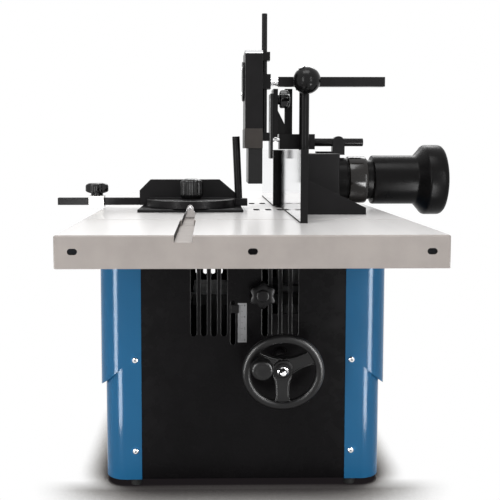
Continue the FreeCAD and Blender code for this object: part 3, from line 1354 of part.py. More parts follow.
def build_gauge():
    """Mitre gauge: bar and base in the slot; head with fence plate, stop rod and clamp post; knobs."""
    bar_half = "gauge_bar_width / 2"
    lift = "table_top + sliding_gap"
    node("gauge_bar", box((f"slot_x - {bar_half}", f"slot_x + {bar_half}"),
                          ("gauge_bar_near", "gauge_bar_far"),
                          (f"{lift} - gauge_bar_height", lift)))
    base_top = f"{lift} + gauge_base_wall"
    base = box(("slot_x - gauge_base_half", "slot_x + gauge_base_half"),
               ("gauge_base_near", "gauge_base_far"), (lift, base_top))
    base = bevelled(base, "gauge_base_bevel",
                    lambda edge: near(edge.CenterOfMass.z, base_top) or runs_along(edge, (0, 0, 1)))
    stud_top = f"{base_top} + gauge_dial_height + gauge_knob_height / 2"
    stud = rod("z", (lift, stud_top), "gauge_stud_radius", ("slot_x", "gauge_pivot_y"))
    node("gauge_base", fuse(base, stud))
    floor = f"{base_top} + running_gap"
    dial_top = f"{floor} + gauge_dial_height"
    dial = rod("z", (floor, dial_top), "gauge_dial_radius", ("slot_x", "gauge_pivot_y"))
    trim = box(("slot_x - gauge_base_half", "slot_x + gauge_base_half"),
               ("gauge_dial_far", "gauge_pivot_y + 2 * gauge_dial_radius"),
               (f"{floor} - overrun", f"{dial_top} + overrun"))
    bore = rod("z", (f"{floor} - overrun", f"{dial_top} + overrun"), "gauge_stud_radius + running_gap",
               ("slot_x", "gauge_pivot_y"))
    left = "slot_x - gauge_fence_half"
    right = "slot_x + gauge_fence_half"
    plate = padded("XZ_Plane", [(left, floor), (left, "table_top + gauge_fence_shoulder"),
                                (f"{left} + gauge_fence_bevel", "table_top + gauge_fence_top"),
                                ("slot_x + gauge_slope_start", "table_top + gauge_fence_top"),
                                (right, f"{floor} + gauge_toe_height"), (right, floor)],
                   "gauge_fence_wall")
    place(plate, "0", "gauge_fence_y", "0")
    rod_low = f"{floor} + stop_rod_lift"
    node("stop_rod", box((f"{left} - stop_rod_length", left),
                         ("gauge_fence_y - stop_rod_size / 2", "gauge_fence_y + stop_rod_size / 2"),
                         (rod_low, f"{rod_low} + stop_rod_size")))
    lean_x = "clamp_post_x"
    near_face = "gauge_fence_y - gauge_fence_wall / 2"
    lug_y = f"{near_face} - clamp_lug_half"
    lug = box((f"{lean_x} - 2 * clamp_lug_half", f"{lean_x} + clamp_lug_half / 2"),
              (f"{near_face} - 2 * clamp_lug_half", near_face),
              (floor, f"{floor} + clamp_lug_height"))
    node("gauge_head", cut(fuse(cut(dial, trim), plate, lug), bore))
    post = bind(doc.addObject("Part::Cylinder", "rod"), Radius="clamp_post_radius",
                Height="clamp_post_length")
    post = place(turn(post, "y", "clamp_post_lean"), f"{lean_x} - clamp_lug_half", lug_y,
                 f"{floor} + clamp_lug_height + clamp_post_radius * sin(-clamp_post_lean)")
    node("clamp_post", post)
    knob_low = f"{dial_top} + sliding_gap"
    knob_high = f"{knob_low} + gauge_knob_height"
    core = turned([("gauge_stud_radius + running_gap", knob_low), ("gauge_knob_radius", knob_low),
                   ("gauge_knob_radius", f"{knob_high} - gauge_knob_dome"),
                   ("gauge_knob_radius * knob_round_share", f"{knob_high} - gauge_knob_dome / 3"),
                   ("gauge_knob_radius / 2", knob_high), ("0", knob_high),
                   ("0", f"{stud_top} + sliding_gap"),
                   ("gauge_stud_radius + running_gap", f"{stud_top} + sliding_gap")])
    ribs = []
    for index in range(12):
        angle = f"({index} * 360 / 12)"
        spot = (f"gauge_knob_radius * cos{angle}", f"gauge_knob_radius * sin{angle}")
        ribs.append(rod("z", (knob_low, f"{knob_high} - gauge_knob_dome"), "gauge_knob_rib", spot))
    node("gauge_knob", place(fuse(core, *ribs), "slot_x", "gauge_pivot_y", "0"))
    slack = "stop_rod_size / 2 + sliding_gap"
    low = "table_top + stop_block_foot"
    high = f"{rod_low} + stop_rod_size + stop_block_cap"
    middle = f"{rod_low} + stop_rod_size / 2"
    stop_axis = ("stop_block_x", "gauge_fence_y")
    block = cut(box(("stop_block_x - stop_block_half", "stop_block_x + stop_block_half"),
                    ("gauge_fence_y - stop_block_depth / 2", "gauge_fence_y + stop_block_depth / 2"),
                    (low, high)),
                box(("stop_block_x - stop_block_half - overrun",
                     "stop_block_x + stop_block_half + overrun"),
                    (f"gauge_fence_y - ({slack})", f"gauge_fence_y + {slack}"),
                    (f"{middle} - ({slack})", f"{middle} + {slack}")),
                rod("z", (middle, f"{high} + overrun"), "stop_stud_radius + running_gap", stop_axis))
    node("stop_block", block)
    base_z = f"{high} + sliding_gap"
    solids = lobed_knob("z", (base_z, f"{base_z} + stop_knob_height"), "stop_knob_ring",
                        "stop_lobe_radius", 4, stop_axis)
    solids.append(rod("z", (f"{middle} + {slack}", base_z), "stop_stud_radius", stop_axis))
    node("stop_knob", fuse(*solids))


def build_switch():
    """Switch box on the operator's cover with two push buttons, and a cable gland on the rear cover."""
    face = "-cabinet_width / 2"
    front = f"{face} - switch_depth"
    block = box((front, face), ("switch_near", "switch_far"), ("switch_bottom", "switch_top"))
    block = rounded(block, "switch_round", lambda edge: near(edge.CenterOfMass.x, front))
    room = box((f"{front} + switch_wall", f"{face} + overrun"),
               ("switch_near + switch_wall", "switch_far - switch_wall"),
               ("switch_bottom + switch_wall", "switch_top - switch_wall"))
    middle = ("(switch_near + switch_far) / 2", "(switch_bottom + switch_top) / 2")
    spots = [("start_button", f"{middle[1]} + button_pitch / 2"),
             ("stop_button", f"{middle[1]} - button_pitch / 2")]
    holes = [rod("x", (f"{front} - overrun", f"{front} + switch_wall + overrun"),
                 "button_radius + sliding_gap", (middle[0], height))
             for name, height in spots]
    node("switch_box", cut(block, room, *holes))
    for name, height in spots:
        inside = f"{front} + switch_wall + sliding_gap"
        button = fuse(rod("x", (f"{front} - button_proud", inside), "button_radius", (middle[0], height)),
                      rod("x", (inside, f"{inside} + button_flange"), "button_radius + button_flange",
                          (middle[0], height)))
        node(name, button)
    wall = "cabinet_width / 2 - waist_recess"
    gland = cut(rod("x", (wall, f"{wall} + gland_length"), "gland_radius", ("gland_y", "gland_height")),
                rod("x", (f"{wall} - overrun", f"{wall} + gland_length + overrun"), "gland_bore",
                    ("gland_y", "gland_height")))
    node("cable_gland", gland)


def export_all():
    """Check every object and write each sub-part to its own file."""
    doc.recompute()
    for item in doc.Objects:
        if "Invalid" in item.State or "Error" in item.State:
            raise RuntimeError(f"{item.Name} ({item.Label}) did not build: {item.State}")
    for item in NODES:
        shape = item.Shape
        if shape.isNull() or not shape.isValid() or not shape.Solids:
            raise RuntimeError(f"{item.Label} has no valid solid")
    os.makedirs("parts", exist_ok=True)
    for item in NODES:
        item.Shape.exportStep(os.path.join("parts", item.Label + ".step"))


build_base()
build_posts()
build_cover("front_cover", "180")
build_cover("rear_cover", "0")
build_panel("near_end_panel", "-")
build_panel("far_end_panel", "")
build_cover_screws()
build_scale()
build_tables()
build_extension_bolts()
build_insert()
build_columns()
build_carriage()
build_screw_drive()
build_handwheel()
build_height_lock()
build_pointer()
build_motor()
build_belt()
build_spindle()
build_fence_base()
build_fence_plates()
build_hood()
build_guard()
build_hold_down()
build_gauge()
build_switch()
export_all()
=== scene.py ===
"""The looks of a bench-top spindle moulder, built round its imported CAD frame.

Metres, same frame as the CAD: X from the operator's side to the dust port, Y along the fence, Z up.
"""
import json
import math

import bmesh
import bpy
from mathutils import Matrix, Vector

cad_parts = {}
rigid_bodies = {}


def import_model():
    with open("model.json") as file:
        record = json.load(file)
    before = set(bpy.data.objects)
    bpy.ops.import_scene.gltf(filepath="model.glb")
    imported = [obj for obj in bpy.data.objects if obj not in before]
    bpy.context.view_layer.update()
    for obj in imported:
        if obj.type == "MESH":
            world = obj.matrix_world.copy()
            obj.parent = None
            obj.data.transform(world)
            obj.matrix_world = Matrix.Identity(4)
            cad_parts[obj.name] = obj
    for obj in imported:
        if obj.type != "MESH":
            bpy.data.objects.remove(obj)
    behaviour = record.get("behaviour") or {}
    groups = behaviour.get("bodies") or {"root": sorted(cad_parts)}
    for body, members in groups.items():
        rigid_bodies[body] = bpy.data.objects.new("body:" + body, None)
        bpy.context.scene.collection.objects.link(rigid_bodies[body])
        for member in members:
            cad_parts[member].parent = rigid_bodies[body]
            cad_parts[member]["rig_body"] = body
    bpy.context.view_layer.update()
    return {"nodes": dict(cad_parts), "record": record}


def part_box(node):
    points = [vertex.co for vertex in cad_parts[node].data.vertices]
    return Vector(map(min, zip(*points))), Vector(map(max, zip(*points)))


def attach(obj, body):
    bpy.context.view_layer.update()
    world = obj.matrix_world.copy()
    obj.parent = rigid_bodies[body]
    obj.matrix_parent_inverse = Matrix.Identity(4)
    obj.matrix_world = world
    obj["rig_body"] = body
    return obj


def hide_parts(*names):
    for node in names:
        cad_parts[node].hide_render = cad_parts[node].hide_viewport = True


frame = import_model()
NODES = frame["nodes"]
RECORD = frame["record"]
JOINTS = {joint["name"]: joint for joint in RECORD["behaviour"]["joints"]}
SLOTS = {row["node"]: row["material_slot"] for row in RECORD["subparts"]}
MM = 0.001
FLOOR_REACH = 30.0

# Sizes of the pieces made here, in millimetres, angles in degrees
WHEEL_RADIUS = 60.0
WHEEL_RIM_RADIUS = 7.4
WHEEL_DISH = 16.0
WHEEL_ARM_HALF = 3.6
WHEEL_ARM_ANGLES = (90, 210, 330)
CRANK_REACH = 41.0
CRANK_ANGLE = 208.0
CRANK_SEAT = 3.3
LOCK_SEAT = 18.0
LOBED_HEIGHT = 24.0
STUD_RADIUS = 3.0
STUD_OVERLAP = 2.0
BALL_RADIUS = 25.8
DUST_SPIGOT = 7.0
SCREW_RADIUS = 5.4
SCREW_HEIGHT = 3.2
HEIGHT_MARK_PITCH = 2.0
HEIGHT_MARK_SPAN = 60.0
HEIGHT_MARK_HALF = 0.18
DIAL_RISE = 20.05
DIAL_RADIUS = 81.5
DIAL_FIGURE_RADIUS = 67.0
INSERT_HOLE_RADIUS = 48.0
INSERT_SLOT_LENGTH = 36.0
INSERT_SLOT_WIDTH = 12.0
INSERT_SLOT_START = 31.0
INSERT_SLOT_PITCH = 22.4
INSERT_SLOT_ROWS = (-72.0, 96.0)
BUTTON_OFFSETS = (17.0, -17.0)
LID_INSET = 5.0
LID_HEIGHT = 1.2
LID_SCREW_INSET = 11.0
GUARD_BOLT_Y = -2.0
GUARD_BOLT_Z = 599.5
BAND_RISE = 37.0
BAND_PROUD = 0.8
HOUSING_COVER_RISE = 128.0
HOUSING_COVER_HEIGHT = 4.2
HOUSING_SCREW_OFFSETS = (-24.0, 24.0)
RIB_PLACES = (-176.0, -60.0, 60.0, 176.0)
RIB_HALF = 3.0
RIB_INSET = 8.0
RIB_TOP_DROP = 13.5
RIB_FOOT_RISE = 12.0
PANEL_FACE = 228.5
VENT_TOP = 410.0
VENT_WIDTH = 9.9
VENT_PITCH = 17.3
VENT_COUNT = 4
WINDOW_LENGTH = 75.0
WINDOW_WIDTH = 8.4
WINDOW_X = -17.9
WINDOW_MIDDLE = 284.5


# Shader helpers

def new_material(name):
    """An empty node material with its tree, shader and object coordinates."""
    made = bpy.data.materials.new(name)
    made.use_nodes = True
    tree = made.node_tree
    shader = tree.nodes["Principled BSDF"]
    place = tree.nodes.new("ShaderNodeTexCoord")
    return made, tree, shader, place.outputs["Object"]


def stretched(tree, vector, scale):
    """Coordinates scaled by axis, so that a pattern can run along one of them."""
    mapping = tree.nodes.new("ShaderNodeMapping")
    mapping.inputs["Scale"].default_value = scale
    tree.links.new(vector, mapping.inputs["Vector"])
    return mapping.outputs["Vector"]


def noise(tree, vector, scale, detail=3.0, roughness=0.55):
    """A noise factor at a scale in cycles per metre."""
    made = tree.nodes.new("ShaderNodeTexNoise")
    made.inputs["Scale"].default_value = scale
    made.inputs["Detail"].default_value = detail
    made.inputs["Roughness"].default_value = roughness
    tree.links.new(vector, made.inputs["Vector"])
    return made.outputs["Fac"]


def ramp(tree, factor, stops):
    """A colour ramp through (position, colour) stops."""
    made = tree.nodes.new("ShaderNodeValToRGB")
    elements = made.color_ramp.elements
    while len(elements) < len(stops):
        elements.new(0.5)
    for element, (position, colour) in zip(elements, stops):
        element.position = position
        element.color = (*colour, 1.0)
    tree.links.new(factor, made.inputs["Fac"])
    return made.outputs["Color"]


def spread(tree, factor, low, high):
    """A noise factor spread over a range of values."""
    made = tree.nodes.new("ShaderNodeMapRange")
    made.inputs["From Min"].default_value = 0.3
    made.inputs["From Max"].default_value = 0.7
    made.inputs["To Min"].default_value = low
    made.inputs["To Max"].default_value = high
    tree.links.new(factor, made.inputs["Value"])
    return made.outputs["Result"]


def bump(tree, shader, height, strength, distance):
    """A bump from a height factor, in metres of depth."""
    made = tree.nodes.new("ShaderNodeBump")
    made.inputs["Strength"].default_value = strength
    made.inputs["Distance"].default_value = distance
    tree.links.new(height, made.inputs["Height"])
    tree.links.new(made.outputs["Normal"], shader.inputs["Normal"])


def tones(colour, swing):
    """A darker and a lighter tone of one colour."""
    return [tuple(min(1.0, part * (1 - swing)) for part in colour),
            tuple(min(1.0, part * (1 + swing)) for part in colour)]


def finish_material(name, colour, rough, swing=0.12, cloud=14.0, grain=900.0, depth=0.00003, strength=0.25,
                    stretch=(1, 1, 1), metallic=0.0, specular=0.5, rough_swing=0.06):
    """A surface with cloudy colour, uneven gloss and a fine grain along one direction."""
    made, tree, shader, place = new_material(name)
    cloudy = noise(tree, place, cloud)
    dark, light = tones(colour, swing)
    tree.links.new(ramp(tree, cloudy, [(0.3, dark), (0.7, light)]), shader.inputs["Base Color"])
    fine = noise(tree, stretched(tree, place, stretch), grain, detail=4.0)
    gloss = noise(tree, stretched(tree, place, stretch), cloud * 3)
    tree.links.new(spread(tree, gloss, max(0.02, rough - rough_swing), rough + rough_swing),
                   shader.inputs["Roughness"])
    bump(tree, shader, fine, strength, depth)
    shader.inputs["Metallic"].default_value = metallic
    shader.inputs["Specular IOR Level"].default_value = specular
    return made


BLUE = finish_material("blue_enamel", (0.0150, 0.124, 0.272), 0.17, swing=0.05, cloud=6.0, grain=700.0,
                       depth=0.00002, strength=0.15, specular=0.16, rough_swing=0.03)
PANEL = finish_material("panel_black", (0.0050, 0.0045, 0.0050), 0.27, swing=0.2, grain=1500.0,
                        depth=0.00003, specular=0.07)
CAST = finish_material("cast_grey", (0.372, 0.337, 0.316), 0.46, swing=0.06, cloud=25.0, grain=1800.0,
                       depth=0.00006, strength=0.35, specular=0.1)
GROUND = finish_material("ground_top", (0.83, 0.812, 0.803), 0.25, swing=0.012, cloud=9.0, grain=1400.0,
                         stretch=(1.0, 0.05, 1.0), depth=0.00001, strength=0.15, metallic=0.25,
                         rough_swing=0.012)
# Painted shade: a near-black finish where shade falls, on table insides, hole and slot walls, the wing
# ribs, the insert's walls and underside and the fence plates' foot strips.
PAINTED_SHADE = finish_material("painted_shade_dark", (0.030, 0.028, 0.027), 0.6, swing=0.2, grain=1500.0, depth=0.00006,
                        specular=0.2)
STEEL = finish_material("turned_steel", (0.56, 0.55, 0.54), 0.26, swing=0.08, grain=2200.0,
                        stretch=(0.1, 0.1, 1.0), depth=0.00002, metallic=1.0)
BAR = finish_material("bar_steel", (0.37, 0.365, 0.35), 0.28, swing=0.08, grain=1500.0,
                      stretch=(1.0, 0.04, 1.0), depth=0.00002, metallic=1.0)
CHROME = finish_material("chrome", (0.84, 0.84, 0.85), 0.07, swing=0.03, grain=600.0, depth=0.00001,
                         strength=0.05, metallic=1.0, rough_swing=0.03)
ALUMINIUM = finish_material("bright_aluminium", (0.80, 0.805, 0.82), 0.12, swing=0.02, cloud=5.0,
                            grain=1600.0, stretch=(1.0, 0.02, 1.0), depth=0.00001, strength=0.12,
                            metallic=1.0, rough_swing=0.04)
PAINT = finish_material("black_paint", (0.0060, 0.0055, 0.0060), 0.34, swing=0.25, grain=1300.0,
                        depth=0.00004, specular=0.14)
PLASTIC = finish_material("black_plastic", (0.0060, 0.0058, 0.0060), 0.20, swing=0.2, grain=2400.0,
                          depth=0.00002, strength=0.15, specular=0.16)
KNOB = finish_material("knob_plastic", (0.0060, 0.0058, 0.0060), 0.12, swing=0.2, grain=2400.0,
                       depth=0.00001, strength=0.1, specular=0.34, rough_swing=0.03)
# Painted highlight: a lighter, glossier copy of the black paint for the fence base's up-facing slanted
# faces.
HIGHLIGHT_BLACK = finish_material("painted_highlight_black", (0.012, 0.0115, 0.012), 0.16, swing=0.2, grain=2000.0, depth=0.00001,
                        strength=0.1, specular=0.5)
PIPE = finish_material("pipe_plastic", (0.0058, 0.0055, 0.0056), 0.30, swing=0.2, grain=2200.0,
                       depth=0.00003, strength=0.2, specular=0.07)
COLLAR = finish_material("hose_collar", (0.0105, 0.0090, 0.0080), 0.16, swing=0.2, grain=1800.0,
                         depth=0.00003, specular=0.33)
SATIN = finish_material("satin_plastic", (0.0085, 0.0082, 0.0085), 0.34, swing=0.2, grain=2000.0,
                        depth=0.00005, strength=0.25, specular=0.25)
BAND = finish_material("guide_block", (0.036, 0.031, 0.028), 0.45, swing=0.2, grain=1500.0, depth=0.00004,
                       specular=0.2)
RUBBER = finish_material("rubber", (0.010, 0.010, 0.010), 0.7, swing=0.25, grain=1500.0, depth=0.00006,
                         specular=0.2)
# Painted shade: the works inside the cabinet are a near-black grey so that they read dark through the
# vents.
WORKS_SHADE_GREY = finish_material("machine_grey", (0.020, 0.020, 0.021), 0.5, swing=0.15, grain=1100.0, depth=0.00008,
                       specular=0.3)
SCALE = finish_material("scale_plate", (0.225, 0.225, 0.23), 0.38, swing=0.06, grain=1800.0,
                        stretch=(0.05, 1.0, 1.0), depth=0.00001, metallic=0.6)
# Black print for the scale's marks and figures, also painted shade inside the screws' cross recesses.
INK_AND_RECESS_SHADE = finish_material("black_ink_and_recess_shade", (0.008, 0.008, 0.008), 0.5, swing=0.2, grain=2500.0, depth=0.00001,
                      specular=0.2)
PALE = finish_material("pale_ink", (0.72, 0.72, 0.70), 0.5, swing=0.05, grain=2500.0, depth=0.00001)
GREEN = finish_material("green_plastic", (0.020, 0.240, 0.055), 0.3, swing=0.1, grain=2400.0, depth=0.00002)
RED = finish_material("red_plastic", (0.42, 0.018, 0.016), 0.3, swing=0.1, grain=2400.0, depth=0.00002)


# Mesh helpers

def add_object(name, mesh, body, replaced=(), slot=None):
    """Link a mesh as a piece that rides on a body and may stand for CAD nodes."""
    made = bpy.data.objects.new(name, mesh)
    bpy.context.scene.collection.objects.link(made)
    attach(made, body)
    if replaced:
        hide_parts(*replaced)
    return made


def soften(made, width, segments=2, angle=30.0):
    """Round a piece's sharp edges, with a smooth shade between them."""
    bevel = made.modifiers.new("soft_edges", "BEVEL")
    bevel.width = width
    bevel.segments = segments
    bevel.limit_method = "ANGLE"
    bevel.angle_limit = math.radians(angle)
    bevel.harden_normals = True
    bevel.use_clamp_overlap = True
    bevel.miter_outer = "MITER_ARC"
    return made


def shade(mesh, angle=32.0):
    """Smooth shading, sharp where two faces meet at more than an angle."""
    mesh.polygons.foreach_set("use_smooth", [True] * len(mesh.polygons))
    mesh.set_sharp_from_angle(angle=math.radians(angle))


def body_of(node):
    """The CAD body that carries a node."""
    return NODES[node]["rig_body"]


def joined(node):
    """A node's mesh as clean joined faces, without the import's split corners."""
    grid = bmesh.new()
    grid.from_mesh(NODES[node].data)
    bmesh.ops.remove_doubles(grid, verts=grid.verts, dist=2e-6)
    bmesh.ops.dissolve_limit(grid, angle_limit=math.radians(0.4), verts=grid.verts, edges=grid.edges)
    return grid


def dress(node, material, width=0.6 * MM, segments=2, angle=30.0, others=(), where=None):
    """A node's form with softened edges and a finish; where gives the number of each face's finish."""
    grid = joined(node)
    mesh = bpy.data.meshes.new(node + "_form")
    grid.to_mesh(mesh)
    grid.free()
    for name in ("custom_normal", "sharp_edge", "sharp_face"):
        if name in mesh.attributes:
            mesh.attributes.remove(mesh.attributes[name])
    mesh.materials.append(material)
    for other in others:
        mesh.materials.append(other)
    if where is not None:
        for face in mesh.polygons:
            face.material_index = int(where(face))
    shade(mesh)
    made = add_object(node + "_dressed", mesh, body_of(node), (node,), SLOTS[node])
    return soften(made, width, segments, angle)


def paint(node, material):
    """Give a CAD node that stays as it is its finish."""
    NODES[node].data.materials.clear()
    NODES[node].data.materials.append(material)


def table_sides(node):
    """Finish numbers for a table: 1 on its ground top, 2 inside its rim, its holes and the slot's walls,
    where shade is painted.
    """
    low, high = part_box(node)

    def pick(face):
        if face.normal.z > 0.9 and face.center.z > high[2] - 2 * MM:
            return 1
        inside = [low[axis] + 2 * MM < face.center[axis] < high[axis] - 2 * MM for axis in (0, 1)]
        # Painted shade on the slot's walls and on the faces inside and under the rim.
        slot_wall = inside[0] and abs(face.normal.x) > 0.9 and face.center.z > high[2] - 12 * MM
        return 2 if slot_wall or all(inside) and face.center.z < high[2] - 12 * MM else 0

    return pick


def faces_work(face):
    """True for a face that looks towards the operator."""
    return face.normal.x < -0.9


def slanted(low, high):
    """A test for faces whose normal's rise lies between two shares."""

    def pick(face):
        return low < face.normal.z < high

    return pick


def facing(axis, side, place):
    """A frame at a place whose Z runs along an axis and X along a side of it."""
    z = Vector(axis).normalized()
    x = Vector(side)
    x = (x - x.dot(z) * z).normalized()
    turn = Matrix((x, z.cross(x), z)).transposed()
    return Matrix.Translation(Vector(place)) @ turn.to_4x4()


def filleted(points, radius, steps=4):
    """A closed outline with each corner rounded by an arc of one radius."""
    smooth = []
    for index, here in enumerate(points):
        here = Vector(here)
        back = (Vector(points[index - 1]) - here).normalized()
        ahead = (Vector(points[(index + 1) % len(points)]) - here).normalized()
        half = back.angle(ahead) / 2
        middle = here + (back + ahead).normalized() * radius / math.sin(half)
        first = here + back * radius / math.tan(half) - middle
        last = here + ahead * radius / math.tan(half) - middle
        for step in range(steps + 1):
            spoke = first.lerp(last, step / steps).normalized() * radius
            smooth.append(tuple(middle + spoke))
    return smooth


def oblong(length, width, steps=10):
    """A slot outline along X with round ends."""
    reach = (length - width) / 2
    points = []
    for end in (1, -1):
        for step in range(steps + 1):
            angle = math.pi * (step / steps - 0.5) + (0 if end > 0 else math.pi)
            points.append((end * reach + width / 2 * math.cos(angle), width / 2 * math.sin(angle)))
    return points


def circle(radius, count):
    """Points round a circle; six of them give a nut's outline."""
    angles = [2 * math.pi * step / count for step in range(count)]
    return [(radius * math.cos(angle), radius * math.sin(angle)) for angle in angles]


def rectangle(low, high):
    """The four corners of an upright rectangle."""
    return [(low[0], low[1]), (high[0], low[1]), (high[0], high[1]), (low[0], high[1])]


def neighbours(loop):
    """Each spot of a closed loop with the one before it."""
    return [(loop[index - 1], loop[index]) for index in range(len(loop))]


def scaled(profile, share):
    """A profile with its radii scaled by a share."""
    return [(radius * share, height) for radius, height in profile]


class Form:
    """Faces of one piece, gathered from turned and drawn shapes, in millimetres of a local frame."""

    def __init__(self, place=Matrix()):
        self.grid = bmesh.new()
        self.place = place @ Matrix.Scale(MM, 4)

    def ring(self, points, shift=Matrix()):
        """New vertices at points of the local frame."""
        return [self.grid.verts.new(self.place @ shift @ Vector(point)) for point in points]

    def face(self, spots, tint):
        """A face through vertices, with the number of its finish."""
        self.grid.faces.new(spots).material_index = tint

    def band(self, low, high, tint=0):
        """The strip of faces between two loops of the same length."""
        for (first, second), (third, fourth) in zip(neighbours(low), neighbours(high)):
            self.face([first, second, fourth, third], tint)

    def lathe(self, profile, tint=0, steps=64, lobes=0, share=0.0, closed=True, shift=Matrix()):
        """Turn (radius, height) points about the local Z axis; lobes wave the radius by a share."""
        widest = max(radius for radius, _ in profile)
        rings = []
        for radius, height in profile:
            if radius <= 0:
                rings.append(self.ring([(0, 0, height)], shift))
                continue
            points = []
            for step in range(steps):
                angle = 2 * math.pi * step / steps
                wave = 1 + share * math.cos(lobes * angle) * (radius / widest) ** 4
                points.append((radius * wave * math.cos(angle), radius * wave * math.sin(angle), height))
            rings.append(self.ring(points, shift))
        pairs = list(zip(rings, rings[1:]))
        if closed and len(rings[0]) > 1 and len(rings[-1]) > 1:
            pairs.append((rings[-1], rings[0]))
        for low, high in pairs:
            for step in range(steps):
                after = (step + 1) % steps
                if len(low) == 1 and len(high) > 1:
                    self.face([low[0], high[after], high[step]], tint)
                elif len(high) == 1 and len(low) > 1:
                    self.face([low[step], low[after], high[0]], tint)
                elif len(low) > 1:
                    self.face([low[step], low[after], high[after], high[step]], tint)
        return self

    def prism(self, outline, low, high, tint=0, shift=Matrix()):
        """Draw a flat outline along the local Z axis."""
        floor = self.ring([(x, y, low) for x, y in outline], shift)
        roof = self.ring([(x, y, high) for x, y in outline], shift)
        self.face(floor[::-1], tint)
        self.face(roof, tint)
        for index in range(len(outline)):
            after = (index + 1) % len(outline)
            self.face([floor[index], floor[after], roof[after], roof[index]], tint)
        return self

    def block(self, low, high, tint=0, shift=Matrix()):
        """A box between two corners."""
        return self.prism(rectangle(low, high), low[2], high[2], tint, shift)

    def piece(self, name, materials, body, replaced=(), width=0.0, segments=2, angle=30.0, slot=None):
        """Close the form into a named piece of the object."""
        bmesh.ops.recalc_face_normals(self.grid, faces=self.grid.faces)
        mesh = bpy.data.meshes.new(name)
        self.grid.to_mesh(mesh)
        self.grid.free()
        for material in materials:
            mesh.materials.append(material)
        shade(mesh)
        made = add_object(name, mesh, body, replaced, slot or (SLOTS[replaced[0]] if replaced else None))
        return soften(made, width, segments, angle) if width else made


def dome(radius, low, rise, steps=6):
    """Profile points of a round cap, from its rim up to the axis."""
    points = []
    for step in range(steps + 1):
        angle = math.pi / 2 * step / steps
        points.append((radius * math.cos(angle), low + rise * math.sin(angle)))
    points[-1] = (0.0, low + rise)
    return points


# Pieces: CAD forms with softened edges

def dress_cad_forms():
    """Finish the plain sheet, bar and cast pieces, and paint the works inside the cabinet; the carriage,
    motor, housing and pulleys are near-black as painted shade.
    """
    for node in ("front_cover", "rear_cover"):
        dress(node, BLUE, 0.5 * MM)
    for node in ("near_end_panel", "far_end_panel"):
        dress(node, PANEL, 0.35 * MM)
    for node in ("main_table", "near_extension_table", "far_extension_table"):
        dress(node, CAST, 1.0 * MM, others=(GROUND, PAINTED_SHADE), where=table_sides(node))
    # Painted highlight on the gussets' up-facing slanted faces.
    dress("fence_base", PAINT, 0.8 * MM, others=(HIGHLIGHT_BLACK,), where=slanted(0.3, 0.95))
    for node in ("extraction_hood", "far_fence_carrier", "guard_arm", "hold_down_post", "cross_bar",
                 "upright", "gauge_base", "gauge_head", "stop_rod", "clamp_post", "height_pointer"):
        dress(node, PAINT, 0.8 * MM)
    # Painted reflection: the housing's up-facing chamfers take bright aluminium in place of the top lamp's
    # reflection on its black edge.
    dress("shoe_housing", PAINT, 0.6 * MM, others=(ALUMINIUM,), where=slanted(0.4, 0.9))
    for node in ("guard_visor", "pressure_shoe", "switch_box"):
        dress(node, SATIN, 0.8 * MM)
    for node in ("near_fence_plate", "far_fence_plate"):
        dress(node, PAINT, 0.5 * MM, others=(ALUMINIUM,), where=faces_work)
    for node in ("gauge_bar", "stop_block"):
        dress(node, BAR, 0.5 * MM)
    dress("height_scale", SCALE, 0.2 * MM)
    dress("start_button", GREEN, 0.8 * MM)
    dress("stop_button", RED, 0.8 * MM)
    for node in ("rubber_feet", "drive_belt"):
        paint(node, RUBBER)
    for node in ("base_tray", "corner_posts", "screw_bracket"):
        paint(node, PANEL)
    for node in ("extension_bolts", "guide_columns", "lead_screw", "wheel_shaft", "spindle",
                 "spindle_collars", "spindle_bearings"):
        paint(node, STEEL)
    for node in ("lift_carriage", "motor", "spindle_housing", "motor_pulley", "spindle_pulley"):
        paint(node, WORKS_SHADE_GREY)


# Pieces: turned and moulded forms

def arm(form, turn, stations, lip=1.6, edge=2.6):
    """A dished arm with raised edges, through (reach, half width, height, half thickness) stations."""
    along = Vector((math.cos(turn), math.sin(turn), 0))
    across = Vector((-along.y, along.x, 0))
    rings = []
    for reach, half, height, thick in stations:
        face = height - thick
        crest = face - lip
        side = [(half - edge, face), (half - edge * 0.6, crest), (half, crest), (half, height + thick)]
        section = [(-x, z) for x, z in side[::-1]] + side
        rings.append(form.ring([along * reach + across * x + Vector((0, 0, z)) for x, z in section]))
    for low, high in zip(rings, rings[1:]):
        form.band(low, high)
    form.face(rings[0][::-1], 0)
    form.face(rings[-1], 0)


